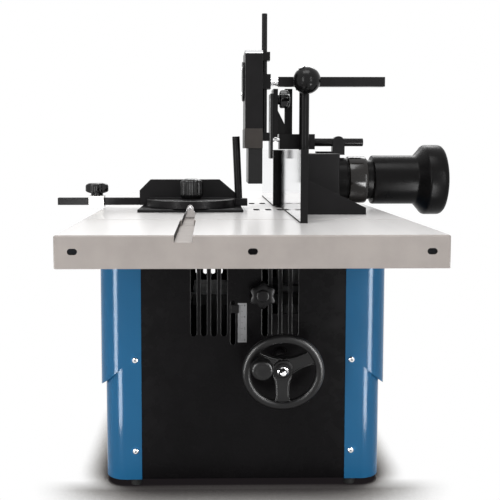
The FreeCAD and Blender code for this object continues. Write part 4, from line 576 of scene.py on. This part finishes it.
def build_handwheel():
    """Round rim, three dished arms, stepped hub, chrome acorn nut and the turning crank knob."""
    joint = JOINTS["handwheel_turn"]
    wheel = facing(joint["axis"], (1, 0, 0), joint["pos_m"])
    section = [(WHEEL_RADIUS + x, y) for x, y in circle(WHEEL_RIM_RADIUS, 20)]
    hub = [(7, 6), (11.4, 6), (12.0, 7.2), (13.6, 7.2), (14.2, 6), (16.0, 6.3), (17, 7.6), (17, 20),
           (15.5, 32), (7, 32)]
    turn = math.radians(CRANK_ANGLE)
    crank = Matrix.Translation((CRANK_REACH * math.cos(turn), CRANK_REACH * math.sin(turn), 0))
    boss = [(0, -2.9), (10.4, -2.9), (11, -2.1), (11, 9), (0, 9)]
    pin = [(0, -18.4), (4, -18.4), (4, -2), (0, -2)]
    form = Form(wheel)
    form.lathe(section, steps=112).lathe(hub)
    form.lathe(boss, shift=crank).lathe(pin, shift=crank)
    form.piece("handwheel_rim", [SATIN], "handwheel", ("handwheel",))
    stations = [(9, 15.4), (14, 15.0), (18, 13.4), (23, 12.0), (30, 11.2), (38, 11.0), (45, 11.2),
                (50, 12.0), (54, 13.6), (57.5, 16.0)]
    form = Form(wheel)
    dished = [(reach, half, WHEEL_DISH * (1 - reach / WHEEL_RADIUS), WHEEL_ARM_HALF) for reach,
              half in stations]
    for angle in WHEEL_ARM_ANGLES:
        arm(form, math.radians(angle), dished)
    form.piece("handwheel_arms", [SATIN], "handwheel", width=0.7 * MM, slot="black_plastic")
    form = Form(wheel).prism(circle(9, 6), -0.4, 6.0)
    form.lathe([(8.7, -0.2), (6.9, -1.4)] + dome(6.6, -2, -7, 8), closed=False)
    form.piece("acorn_nut_dome", [CHROME], "handwheel", ("acorn_nut",), width=0.5 * MM)
    grip = [(4.1, 0), (10.0, 0), (10.6, -1), (10.9, -4), (12.6, -8.5), (15.6, -12.5), (17.1, -15.5),
            (17.5, -18.5), (17.5, -24.5), (17.2, -27), (16.2, -29), (14.2, -30.4), (11.8, -31),
            (10.4, -30.8), (9.2, -30.0), (0, -29.7)]
    seated = [(radius, height - CRANK_SEAT) for radius, height in grip]
    Form(wheel).lathe(seated, closed=False, shift=crank).piece("crank_grip", [SATIN], "crank",
         ("crank_knob",))


def stud(form, end):
    """A knob's threaded stud, from its far end into the knob."""
    form.lathe([(0, end), (STUD_RADIUS, end), (STUD_RADIUS, STUD_OVERLAP), (0, STUD_OVERLAP)])


def build_lock_star():
    """Six-lobed star knob that locks the height."""
    low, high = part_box("height_lock_knob")
    place = ((low[0] + high[0]) / 2, low[1] + LOCK_SEAT * MM, (low[2] + high[2]) / 2)
    star = [(8, 0), (16.2, 0), (17.8, 1.0), (18.7, 3.2), (18.7, 9.6), (17.6, 12.8), (15.0, 14.6),
            (11.6, 15.2), (9.6, 15.2), (9.2, 16.8), (8.2, 17.7), (6.4, 18.1), (0, 18.2)]
    form = Form(facing((0, -1, 0), (0, 0, 1), place))
    form.lathe(scaled(star, 1.12), steps=96, lobes=6, share=0.12, closed=False)
    form.lathe([(0, -34), (4, -34), (4, 1), (0, 1)])
    form.piece("height_lock_star", [PAINT], "lock", ("height_lock_knob",))


def build_guard_knob():
    """Five-lobed knob that clamps the guard plate."""
    spot = JOINTS["guard_knob_turn"]["pos_m"]
    low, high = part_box("guard_knob")
    lobed = [(6, 0), (9.0, 0), (9.6, 1.4), (9.8, 3.4), (13.6, 4.4), (15.6, 5.8), (16.2, 8.0), (16.2, 18.2),
             (15.4, 21.0), (13.4, 23.2), (10.0, 24.0), (0, 24.0)]
    form = Form(facing((1, 0, 0), (0, 0, 1), (high[0] - LOBED_HEIGHT * MM, spot[1], spot[2])))
    form.lathe(lobed, steps=90, lobes=5, share=0.17, closed=False)
    stud(form, low[0] / MM - high[0] / MM + LOBED_HEIGHT)
    form.piece("guard_knob_lobes", [KNOB], "guard_clamp", ("guard_knob",))


def build_stop_knob():
    """Four-lobed knob that clamps the length stop."""
    spot = JOINTS["stop_knob_turn"]["pos_m"]
    low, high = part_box("stop_knob")
    lobed = [(7, 0), (9.4, 0), (10.0, 1.0), (10.0, 4.2), (13.4, 5.2), (15.4, 6.8), (16.2, 9.2),
             (16.2, 18.2), (15.4, 21.2), (13.2, 23.3), (10.2, 24.0), (0, 24.0)]
    form = Form(facing((0, 0, 1), (1, 0, 0), (spot[0], spot[1], high[2] - LOBED_HEIGHT * MM)))
    form.lathe(scaled(lobed, 1.14), steps=80, lobes=4, share=0.2, closed=False)
    stud(form, low[2] / MM - high[2] / MM + LOBED_HEIGHT)
    form.piece("stop_knob_lobes", [KNOB], "stop_clamp", ("stop_knob",))


def build_gauge_knob():
    """Ribbed knob that clamps the mitre gauge's head."""
    spot = JOINTS["gauge_knob_turn"]["pos_m"]
    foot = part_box("gauge_knob")[0][2]
    ribbed = [(5.1, 0), (17.4, 0), (18.0, 1.2), (18.6, 3.0), (20.4, 5.2), (20.6, 8.0), (20.6, 28.5),
              (20.0, 31.6), (18.0, 34.4), (14.6, 36.6), (10.0, 37.8), (0, 38.0)]
    form = Form(facing((0, 0, 1), (1, 0, 0), (spot[0], spot[1], foot)))
    form.lathe(ribbed, steps=144, lobes=18, share=0.045, closed=False)
    form.piece("gauge_knob_ribbed", [KNOB], "gauge_clamp", ("gauge_knob",))


def build_ball_knob():
    """Ball knob with its stem, a turned flat in front and a moulding plug at its side."""
    spot = JOINTS["ball_knob_turn"]["pos_m"]
    low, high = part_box("ball_knob")
    form = Form(facing((0, -1, 0), (1, 0, 0), (spot[0], low[1] + BALL_RADIUS * MM, spot[2])))
    angles = [math.pi * step / 32 for step in range(33)]
    globe = [(BALL_RADIUS * math.sin(angle), -BALL_RADIUS * math.cos(angle)) for angle in angles]
    globe[0], globe[-1] = (0, -BALL_RADIUS), (0, BALL_RADIUS)
    form.lathe(globe, steps=72)
    stem = (low[1] - high[1]) / MM + BALL_RADIUS
    form.lathe([(0, stem), (6, stem), (6, -12), (0, -12)])
    form.lathe([(9.5, -25.4), (9.5, -20), (8.4, -19), (0, -19), (0, -25.4)])
    plug = facing((-0.40, 0.88, 0.25), (1, 0, 0), (0, 0, 0))
    form.lathe([(0, 22.5), (6.6, 22.5), (6.6, 26.2), (6.0, 27.0), (0, 27.0)], steps=32, shift=plug)
    form.piece("ball_knob_round", [PLASTIC], "ball", ("ball_knob",))


def build_dust_adapter():
    """Collar, neck, pipe and flared rim, turned about the dust port's axis."""
    low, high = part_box("dust_adapter")
    middle = ((low[1] + high[1]) / 2, (low[2] + high[2]) / 2)
    outer = [(38.9, -7), (38.9, 0.2), (42.6, 0.2), (43.4, 1.0), (43.4, 25.2), (42.6, 26.4), (40.4, 27.0),
             (40.4, 29.4)]
    collar = [(40.4, 29.4), (44.6, 29.8), (45.8, 30.8), (46.3, 33.0), (46.5, 40.0), (46.5, 58.0),
              (46.2, 62.6), (45.4, 64.8), (43.8, 66.0), (39.6, 66.4), (39.0, 67.2)]
    pipe = [(39.0, 67.2), (39.0, 76.8), (39.8, 77.8), (45.6, 78.0), (47.2, 78.8), (48.0, 80.6),
            (48.0, 160.6), (48.5, 162.4), (50.0, 164.4), (62.6, 175.6), (65.6, 177.8), (67.7, 180.2),
            (68.7, 183.4), (68.7, 206.0), (68.3, 210.0), (67.0, 213.2), (64.6, 215.6), (61.6, 216.7),
            (59.0, 217.0), (52.2, 217.0), (50.6, 216.4), (50.0, 215.0)]
    inner = [(50.0, 177.0), (45.0, 165.0), (45.0, 81.0), (36.0, 81.0), (36.0, -7.0), (38.9, -7)]
    form = Form(facing((1, 0, 0), (0, 1, 0), (low[0] + DUST_SPIGOT * MM, *middle)))
    form.lathe(outer, 0, steps=128, closed=False).lathe(collar, 1, steps=128, closed=False)
    form.lathe(pipe + inner, 0, steps=128, closed=False)
    bmesh.ops.remove_doubles(form.grid, verts=form.grid.verts, dist=1e-7)
    form.piece("dust_adapter_turned", [PIPE, COLLAR], "fence", ("dust_adapter",))


def cross_recess(form, radius, height, half, reach, depth, shift):
    """A flat disc with a cross-shaped driver recess sunk in it; the recess's walls and floor take finish 1,
    painted shade.
    """
    corners = ((half, half, height), (half, reach, height), (-half, reach, height))
    cross = []
    for quarter in range(4):
        turn = Matrix.Rotation(quarter * math.pi / 2, 3, "Z")
        cross += [turn @ Vector(corner) for corner in corners]
    rim = form.ring([(x, y, height) for x, y in circle(radius, 28)], shift)
    mouth = form.ring(cross, shift)
    edges = [form.grid.edges.new(pair) for loop in (rim, mouth) for pair in neighbours(loop)]
    bmesh.ops.triangle_fill(form.grid, edges=edges, use_beauty=True, use_dissolve=False)
    floor = form.ring([(x, y, z - depth) for x, y, z in cross], shift)
    form.band(mouth, floor, 1)
    form.face(floor, 1)


def screw_head(form, radius, height, shift):
    """A pan head with a cross recess in painted shade."""
    shank = radius * 0.46
    head_shares = [(1, 0), (1, 0.3), (0.93, 0.6), (0.78, 0.86), (0.6, 1)]
    head = [(radius * wide, height * tall) for wide, tall in head_shares]
    form.lathe([(0, -2), (shank, -2), (shank, 0)] + head, steps=28, closed=False, shift=shift)
    cross_recess(form, radius * 0.6, height, radius * 0.09, radius * 0.42, height * 0.5, shift)


def islands(node):
    """Middle of each separate solid in a CAD node."""
    grid = joined(node)
    left = set(grid.verts)
    middles = []
    while left:
        group, queue = set(), [left.pop()]
        while queue:
            here = queue.pop()
            group.add(here)
            for edge in here.link_edges:
                other = edge.other_vert(here)
                if other in left:
                    left.remove(other)
                    queue.append(other)
        corners = [[pick(vert.co[axis] for vert in group) for axis in range(3)] for pick in (min, max)]
        middles.append((Vector(corners[0]) + Vector(corners[1])) / 2)
    grid.free()
    return middles


def build_screws():
    """Pan-head screws through the cover flanges."""
    form = Form()
    low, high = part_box("front_cover")
    for middle in islands("cover_screws"):
        out = -1 if middle.y < 0 else 1
        seat = (middle.x / MM, (low[1] if out < 0 else high[1]) / MM, middle.z / MM)
        screw_head(form, SCREW_RADIUS, SCREW_HEIGHT, facing((0, out, 0), (1, 0, 1), seat))
    form.piece("cover_screw_heads", [CHROME, INK_AND_RECESS_SHADE], "frame", ("cover_screws",))


# Pieces: marks and fittings

def lettering(name, text, size, place, material, body):
    """Plain raised figures that lie in the XY plane of a frame."""
    curve = bpy.data.curves.new(name, "FONT")
    curve.body = text
    curve.size = size * MM
    curve.extrude = 0.05 * MM
    curve.align_x = "CENTER"
    curve.align_y = "CENTER"
    made = bpy.data.objects.new(name, curve)
    bpy.context.scene.collection.objects.link(made)
    bpy.context.view_layer.update()
    mesh = bpy.data.meshes.new_from_object(made)
    bpy.data.objects.remove(made)
    mesh.transform(place)
    mesh.materials.clear()
    mesh.materials.append(material)
    add_object(name, mesh, body)


def build_height_scale():
    """Marks and figures on the height scale."""
    low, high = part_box("height_scale")
    form = Form(facing((0, -1, 0), (1, 0, 0), (low[0], low[1], low[2])))
    tall = (high[2] - low[2]) / MM
    wide = (high[0] - low[0]) / MM
    start = tall / 2 - HEIGHT_MARK_SPAN / 2
    for step in range(31):
        length = wide * (0.55 if step % 5 == 0 else 0.32)
        height = start + HEIGHT_MARK_PITCH * step
        form.block((0.4, height - HEIGHT_MARK_HALF, 0), (0.4 + length, height + HEIGHT_MARK_HALF, 0.06))
    form.piece("height_marks", [INK_AND_RECESS_SHADE], "frame")
    for figure in range(0, 7, 2):
        height = start + 5 * HEIGHT_MARK_PITCH * figure
        spot = (low[0] + wide * 0.77 * MM, low[1] - 0.03 * MM, low[2] + height * MM)
        place = facing((0, -1, 0), (1, 0, 0), spot)
        lettering(f"height_figure_{figure}", str(figure), 5.0, place, INK_AND_RECESS_SHADE, "frame")


def build_dial():
    """Marks and figures on the mitre gauge's dial."""
    pivot = JOINTS["gauge_swivel"]["pos_m"]
    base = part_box("gauge_base")[0][2] + DIAL_RISE * MM
    dial = facing((0, 0, 1), (1, 0, 0), (pivot[0], pivot[1], base))
    form = Form(dial)
    for angle in range(-150, -29, 5):
        turn = Matrix.Rotation(math.radians(angle), 4, "Z")
        length = 9.0 if angle % 15 == 0 else 5.0
        form.block((DIAL_RADIUS - length, -0.3, 0), (DIAL_RADIUS, 0.3, 0.08), shift=turn)
    form.piece("dial_marks", [PALE], "gauge_swivel_head")
    upright = Matrix.Rotation(math.pi / 2, 4, "Z")
    for angle in range(-135, -44, 15):
        turn = Matrix.Rotation(math.radians(angle), 4, "Z")
        spot = dial @ turn @ Matrix.Translation((DIAL_FIGURE_RADIUS * MM, 0, 0.03 * MM)) @ upright
        lettering(f"dial_figure_{angle + 180}", str(abs(angle + 90)), 5.5, spot, PALE, "gauge_swivel_head")


def build_dial_pointer():
    """Pointer plate with its screw on the end of the gauge's bar."""
    low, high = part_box("gauge_bar")
    form = Form(facing((0, -1, 0), (1, 0, 0), (JOINTS["gauge_swivel"]["pos_m"][0], low[1], high[2])))
    side = [(9.2, -8.6), (9.2, 1.0), (6.4, 4.0), (6.0, 9.0), (3.4, 13.4)]
    plate = [(-9.2, -8.6)] + side + [(0, 14.6)] + [(-x, y) for x, y in side[:0:-1]]
    form.prism(plate, 0.6, 3.2)
    screw_head(form, 3.4, 2.2, Matrix.Translation((0, 8.4, 3.2)))
    form.piece("dial_pointer", [CHROME, INK_AND_RECESS_SHADE], "gauge", width=0.4 * MM)


def pierced(form, outline, holes, low, high, top=0):
    """A plate between two heights with holes through it, and a finish of its own on top."""
    pairs = []
    for loop in [outline] + holes:
        pairs.append([form.ring([(x, y, height) for x, y in loop]) for height in (low, high)])
    for below, above in pairs:
        form.band(below, above)
    for level, finish in ((0, 0), (1, top)):
        loops = [pair[level] for pair in pairs]
        edges = [form.grid.edges.get(pair) for loop in loops for pair in neighbours(loop)]
        made = bmesh.ops.triangle_fill(form.grid, edges=edges, use_beauty=True, use_dissolve=True)
        for item in made["geom"]:
            if isinstance(item, bmesh.types.BMFace):
                item.material_index = finish


def build_insert():
    """Drop-in insert with the spindle's hole and two rows of long slots; painted shade on its walls and
    underside, ground finish on top.
    """
    low, high = [[edge / MM for edge in corner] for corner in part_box("table_insert")]
    spindle = JOINTS["spindle_spin"]["pos_m"][0] / MM
    holes = [[(x + spindle, y) for x, y in circle(INSERT_HOLE_RADIUS, 72)]]
    slot = oblong(INSERT_SLOT_LENGTH, INSERT_SLOT_WIDTH, 8)
    for row in INSERT_SLOT_ROWS:
        for index in range(4):
            middle = INSERT_SLOT_START + INSERT_SLOT_PITCH * index
            holes.append([(middle + y, row + x) for x, y in slot])
    outline = filleted(rectangle(low, high), 3, 4)
    form = Form()
    pierced(form, outline, holes, low[2], high[2], top=1)
    form.piece("insert_plate", [PAINTED_SHADE, GROUND], "frame", ("table_insert",))


def build_switch_details():
    """Lid, button rings and screws of the switch box, and the buttons' marks."""
    low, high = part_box("switch_box")
    middle = (low[1] + high[1]) / 2
    face = facing((-1, 0, 0), (0, -1, 0), (low[0], middle, (low[2] + high[2]) / 2))
    wide, tall = (high[1] - low[1]) / MM / 2, (high[2] - low[2]) / MM / 2
    corner = (wide - LID_INSET, tall - LID_INSET)
    lid = filleted(rectangle((-corner[0], -corner[1]), corner), 5, 5)
    form = Form(face)
    holes = [[(x, y + spot) for x, y in circle(12.4, 40)] for spot in BUTTON_OFFSETS]
    pierced(form, lid, holes, 0.0, LID_HEIGHT)
    form.piece("switch_lid", [PAINT], "frame", slot="black_plastic")
    ring = [(10.6, 0), (12.2, 0), (12.2, 2.6), (11.8, 3.2), (11.0, 3.2), (10.6, 2.6)]
    form = Form(face)
    for spot in BUTTON_OFFSETS:
        form.lathe(ring, shift=Matrix.Translation((0, spot, 0)))
    form.piece("button_rings", [CHROME], "frame", slot="chrome")
    form = Form(face)
    for x in (-1, 1):
        for y in (-1, 1):
            seat = (x * (wide - LID_SCREW_INSET), y * (tall - LID_SCREW_INSET), LID_HEIGHT)
            screw_head(form, 2.8, 1.8, Matrix.Translation(seat))
    form.piece("switch_screws", [STEEL, INK_AND_RECESS_SHADE], "frame")
    for node, body, mark in (("start_button", "start", "I"), ("stop_button", "stop", "O")):
        low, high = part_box(node)
        spot = (low[0] - 0.02 * MM, (low[1] + high[1]) / 2, (low[2] + high[2]) / 2)
        lettering(node + "_mark", mark, 9.0, facing((-1, 0, 0), (0, -1, 0), spot), PALE, body)


def on_x_axis(low, high):
    """A frame at the low X end of a box, in the middle of its section, with Z along X."""
    return facing((1, 0, 0), (0, 0, 1), (low[0], (low[1] + high[1]) / 2, (low[2] + high[2]) / 2))


def build_cable_gland():
    """Washer, hexagon and ribbed cap of the cable gland."""
    form = Form(on_x_axis(*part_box("cable_gland")))
    form.lathe([(4, 0), (9, 0), (9, 1.4), (8.6, 1.8), (4, 1.8)], steps=40)
    form.prism(circle(8.9, 6), 1.8, 5.6)
    cap = [(4.0, 5.6), (7.6, 5.6), (7.6, 8.4), (7.2, 10.4), (6.2, 11.7), (5.0, 12), (4.2, 11.6),
           (4.0, 10.8)]
    form.lathe(cap, steps=80, lobes=12, share=0.035)
    form.piece("cable_gland_nut", [SATIN], "frame", ("cable_gland",), width=0.4 * MM)


def build_clamp_nut():
    """Knurled clamp nut on the cross bar, with a groove round its middle."""
    low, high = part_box("clamp_ring")
    length = (high[0] - low[0]) / MM
    knurl = [(4.1, 0), (6.9, 0), (7.5, 0.7), (7.5, length * 0.42), (6.2, length * 0.48),
             (6.2, length * 0.56), (7.5, length * 0.62), (7.5, length - 0.7), (6.9, length), (4.1, length)]
    form = Form(on_x_axis(low, high))
    form.lathe(knurl, steps=96, lobes=24, share=0.03)
    form.piece("clamp_nut", [CHROME], "cross_arm", ("clamp_ring",))


def build_guard_bolt():
    """Bolt with washer and nut through the guard arm."""
    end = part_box("guard_arm")[0][0]
    form = Form(facing((1, 0, 0), (0, 0, 1), (end, GUARD_BOLT_Y * MM, GUARD_BOLT_Z * MM)))
    form.prism(circle(4.4, 6), 0.6, 4.0)
    form.lathe([(0, 3.5), (2.4, 3.5), (2.4, 14.2), (0, 14.2)], steps=24)
    form.lathe([(2.4, 8.8), (5.0, 8.8), (5.0, 10.0), (2.4, 10.0)], steps=32)
    form.prism(circle(4.4, 6), 10.0, 14.1)
    form.piece("guard_bolt", [CHROME], "guard", width=0.3 * MM)


def build_plate_strips():
    """Painted shadow: a dark strip along the foot of each fence plate, where it meets the table."""
    for side in ("near", "far"):
        low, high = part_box(side + "_fence_plate")
        face, foot = low[0] / MM, low[2] / MM
        start, end = low[1] / MM + 0.5, high[1] / MM - 0.5
        form = Form().block((face - 0.25, start, foot + 0.2), (face + 0.4, end, foot + 2.6))
        form.piece(side + "_plate_shadow_strip", [PAINTED_SHADE], side + "_plate", width=0.1 * MM)


def build_housing_trim():
    """Band round the foot of the pressure housing, and its screwed cover."""
    low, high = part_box("shoe_housing")
    near = [edge / MM for edge in low]
    far = [edge / MM for edge in high]
    front, back, left = near[1] - BAND_PROUD, far[1] + BAND_PROUD, near[0] - BAND_PROUD
    outline = [(far[0], front), (left, front), (left, back), (far[0], back), (far[0], far[1]),
               (near[0], far[1]), (near[0], near[1]), (far[0], near[1])]
    form = Form().prism(outline, near[2], near[2] + BAND_RISE)
    form.piece("housing_band", [BAND], "hold_down", width=0.25 * MM, slot="black_plastic")
    seat = (low[0], (low[1] + high[1]) / 2, low[2] + HOUSING_COVER_RISE * MM)
    boss = facing((-1, 0, 0), (0, 0, 1), seat)
    form = Form(boss).prism(oblong(76, 44, 14), 0, HOUSING_COVER_HEIGHT)
    form.piece("housing_cover", [SATIN], "hold_down", width=1.8 * MM, segments=3, slot="black_plastic")
    form = Form(boss)
    for spot in HOUSING_SCREW_OFFSETS:
        screw_head(form, 4.0, 2.4, Matrix.Translation((spot, 0, HOUSING_COVER_HEIGHT)))
    form.piece("housing_screws", [CHROME, INK_AND_RECESS_SHADE], "hold_down")


def build_table_ribs():
    """Cast ribs under the extension tables, in painted shade."""
    for name in ("near_extension_table", "far_extension_table"):
        low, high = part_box(name)
        form = Form()
        front, back = low[1] / MM + RIB_INSET, high[1] / MM - RIB_INSET
        left, right = low[0] / MM + RIB_INSET, high[0] / MM - RIB_INSET
        top, foot = high[2] / MM - RIB_TOP_DROP, low[2] / MM + RIB_FOOT_RISE
        for spot in RIB_PLACES:
            form.block((spot - RIB_HALF, front, foot), (spot + RIB_HALF, back, top))
        middle = (front + back) / 2
        form.block((left, middle - RIB_HALF, foot), (right, middle + RIB_HALF, top))
        form.piece(name.replace("_table", "_ribs"), [PAINTED_SHADE], "frame", width=0.8 * MM)


def bead(form, length, width, shift):
    """A rolled rim round a slot that runs along the local X axis."""
    rings = []
    for wider, height in ((0.0, 0.0), (0.0, 0.5), (0.5, 0.9), (1.1, 0.5), (1.3, 0.0)):
        outline = oblong(length + 2 * wider, width + 2 * wider, 8)
        rings.append(form.ring([(x, y, height) for x, y in outline], shift))
    for low, high in zip(rings, rings[1:]):
        form.band(low, high)


def build_vent_rims():
    """Rolled rims round the vents of both end panels and round the height window."""
    for panel, out, starts, length in (("near_end_panel", -1, (-85.0, 36.5), 148.0),
                                       ("far_end_panel", 1, (-85.0,), 115.0)):
        form = Form()
        face = out * PANEL_FACE
        for start in starts:
            for index in range(VENT_COUNT):
                spot = (start + VENT_PITCH * index, face, VENT_TOP - length / 2)
                bead(form, length, VENT_WIDTH, facing((0, out, 0), (0, 0, 1), spot))
        if out < 0:
            spot = (WINDOW_X, face, WINDOW_MIDDLE)
            bead(form, WINDOW_LENGTH, WINDOW_WIDTH, facing((0, out, 0), (0, 0, 1), spot))
        form.piece(panel + "_rims", [PAINT], "frame", slot="black_paint")


# Studio

def seen_rays(tree):
    """1 for rays that show the surroundings: camera, glossy and transmission rays."""
    path = tree.nodes.new("ShaderNodeLightPath")
    total = path.outputs["Is Camera Ray"]
    for name in ("Is Glossy Ray", "Is Transmission Ray"):
        more = tree.nodes.new("ShaderNodeMath")
        more.operation = "MAXIMUM"
        tree.links.new(total, more.inputs[0])
        tree.links.new(path.outputs[name], more.inputs[1])
        total = more.outputs["Value"]
    return total


def contact(tree, distance, stops):
    """A shadow tone from how much of the sky the object hides within a distance."""
    near = tree.nodes.new("ShaderNodeAmbientOcclusion")
    near.inputs["Distance"].default_value = distance
    near.samples = 16
    return ramp(tree, near.outputs["AO"], stops)


def floor_material():
    """White where it is seen, darker in the object's contact shadow, plain pale to other light."""
    made, tree, shader, place = new_material("floor_pale")
    shader.inputs["Base Color"].default_value = (0.8, 0.8, 0.8, 1)
    shader.inputs["Roughness"].default_value = 0.9
    # Painted contact shadow: the floor's seen colour darkens with ambient occlusion, and reaches further in
    # front of the near side than at the sides.
    aside = contact(tree, 0.085, [(0.42, (0.012, 0.010, 0.011)), (0.56, (0.06, 0.055, 0.053)),
                                  (0.70, (0.40, 0.39, 0.38)), (0.86, (1, 1, 1))])
    ahead = contact(tree, 0.13, [(0.42, (0.012, 0.010, 0.011)), (0.64, (0.05, 0.046, 0.045)),
                                 (0.84, (0.30, 0.29, 0.28)), (0.98, (1, 1, 1))])
    axes = tree.nodes.new("ShaderNodeSeparateXYZ")
    tree.links.new(place, axes.inputs["Vector"])
    share = tree.nodes.new("ShaderNodeMapRange")
    share.inputs["From Min"].default_value = -0.205
    share.inputs["From Max"].default_value = -0.245
    tree.links.new(axes.outputs["Y"], share.inputs["Value"])
    tone = tree.nodes.new("ShaderNodeMix")
    tone.data_type = "RGBA"
    tree.links.new(share.outputs["Result"], tone.inputs["Factor"])
    tree.links.new(aside, tone.inputs["A"])
    tree.links.new(ahead, tone.inputs["B"])
    glow = tree.nodes.new("ShaderNodeEmission")
    tree.links.new(tone.outputs["Result"], glow.inputs["Color"])
    mix = tree.nodes.new("ShaderNodeMixShader")
    tree.links.new(seen_rays(tree), mix.inputs["Fac"])
    tree.links.new(shader.outputs["BSDF"], mix.inputs[1])
    tree.links.new(glow.outputs["Emission"], mix.inputs[2])
    tree.links.new(mix.outputs["Shader"], tree.nodes["Material Output"].inputs["Surface"])
    return made


def stage_scene():
    """Pale floor with a contact shadow and white surroundings."""
    mesh = bpy.data.meshes.new("floor")
    corners = rectangle((-FLOOR_REACH, -FLOOR_REACH), (FLOOR_REACH, FLOOR_REACH))
    mesh.from_pydata([(x, y, 0) for x, y in corners], [], [(0, 1, 2, 3)])
    floor = bpy.data.objects.new("floor", mesh)
    bpy.context.scene.collection.objects.link(floor)
    mesh.materials.append(floor_material())
    world = bpy.data.worlds.new("studio")
    bpy.context.scene.world = world
    world.use_nodes = True
    tree = world.node_tree
    back = tree.nodes["Background"]
    back.inputs["Color"].default_value = (1, 1, 1, 1)
    strength = tree.nodes.new("ShaderNodeMapRange")
    strength.inputs["To Min"].default_value = 0.42
    strength.inputs["To Max"].default_value = 1.0
    tree.links.new(seen_rays(tree), strength.inputs["Value"])
    tree.links.new(strength.outputs["Result"], back.inputs["Strength"])


def lamp(name, place, aim, size, power, gleam=False):
    """A soft rectangular lamp that looks at a point; a gleam lamp only shows in reflections."""
    light = bpy.data.lights.new(name, "AREA")
    light.shape = "RECTANGLE"
    light.size, light.size_y = size
    light.energy = power
    made = bpy.data.objects.new(name, light)
    made.location = place
    made.rotation_euler = (Vector(aim) - Vector(place)).to_track_quat("-Z", "Y").to_euler()
    made.visible_camera = False
    made.visible_diffuse = not gleam
    bpy.context.scene.collection.objects.link(made)


def lamps():
    """Two tall strips in front, two gleams at the covers' near corners, a top and a back lamp."""
    work = (0, -0.1, 0.4)
    lamp("left_strip", (-1.75, -2.35, 0.75), work, (0.35, 2.2), 26.0)
    lamp("right_strip", (1.45, -2.6, 0.75), work, (0.3, 2.2), 20.0)
    lamp("left_gleam", (-0.357, -0.472, 0.21), (-0.217, -0.23, 0.21), (0.096, 0.42), 3.8, gleam=True)
    lamp("right_gleam", (0.362, -0.469, 0.21), (0.217, -0.23, 0.21), (0.096, 0.42), 3.8, gleam=True)
    lamp("top", (-0.2, -0.9, 3.0), (0, 0, 0.4), (1.8, 1.2), 45.0)
    lamp("back", (0.4, 2.6, 2.4), (0, 0, 0.5), (2.0, 1.2), 35.0)


def camera():
    """The photograph's viewpoint: near the table's end, a little above its top."""
    lens = bpy.data.cameras.new("camera")
    lens.sensor_width = 36.0
    lens.lens = 55.08
    lens.shift_x = 0.056
    lens.shift_y = -0.096
    made = bpy.data.objects.new("camera", lens)
    made.location = (-0.057, -1.515, 0.579)
    made.rotation_euler = (math.radians(86.1), 0, math.radians(-0.9))
    bpy.context.scene.collection.objects.link(made)
    bpy.context.scene.camera = made


dress_cad_forms()
build_handwheel()
build_lock_star()
build_guard_knob()
build_stop_knob()
build_gauge_knob()
build_ball_knob()
build_dust_adapter()
build_screws()
build_height_scale()
build_dial()
build_dial_pointer()
build_insert()
build_switch_details()
build_cable_gland()
build_clamp_nut()
build_guard_bolt()
build_plate_strips()
build_housing_trim()
build_table_ribs()
build_vent_rims()
stage_scene()
camera()
lamps()
bpy.context.scene.view_settings.view_transform = "Standard"
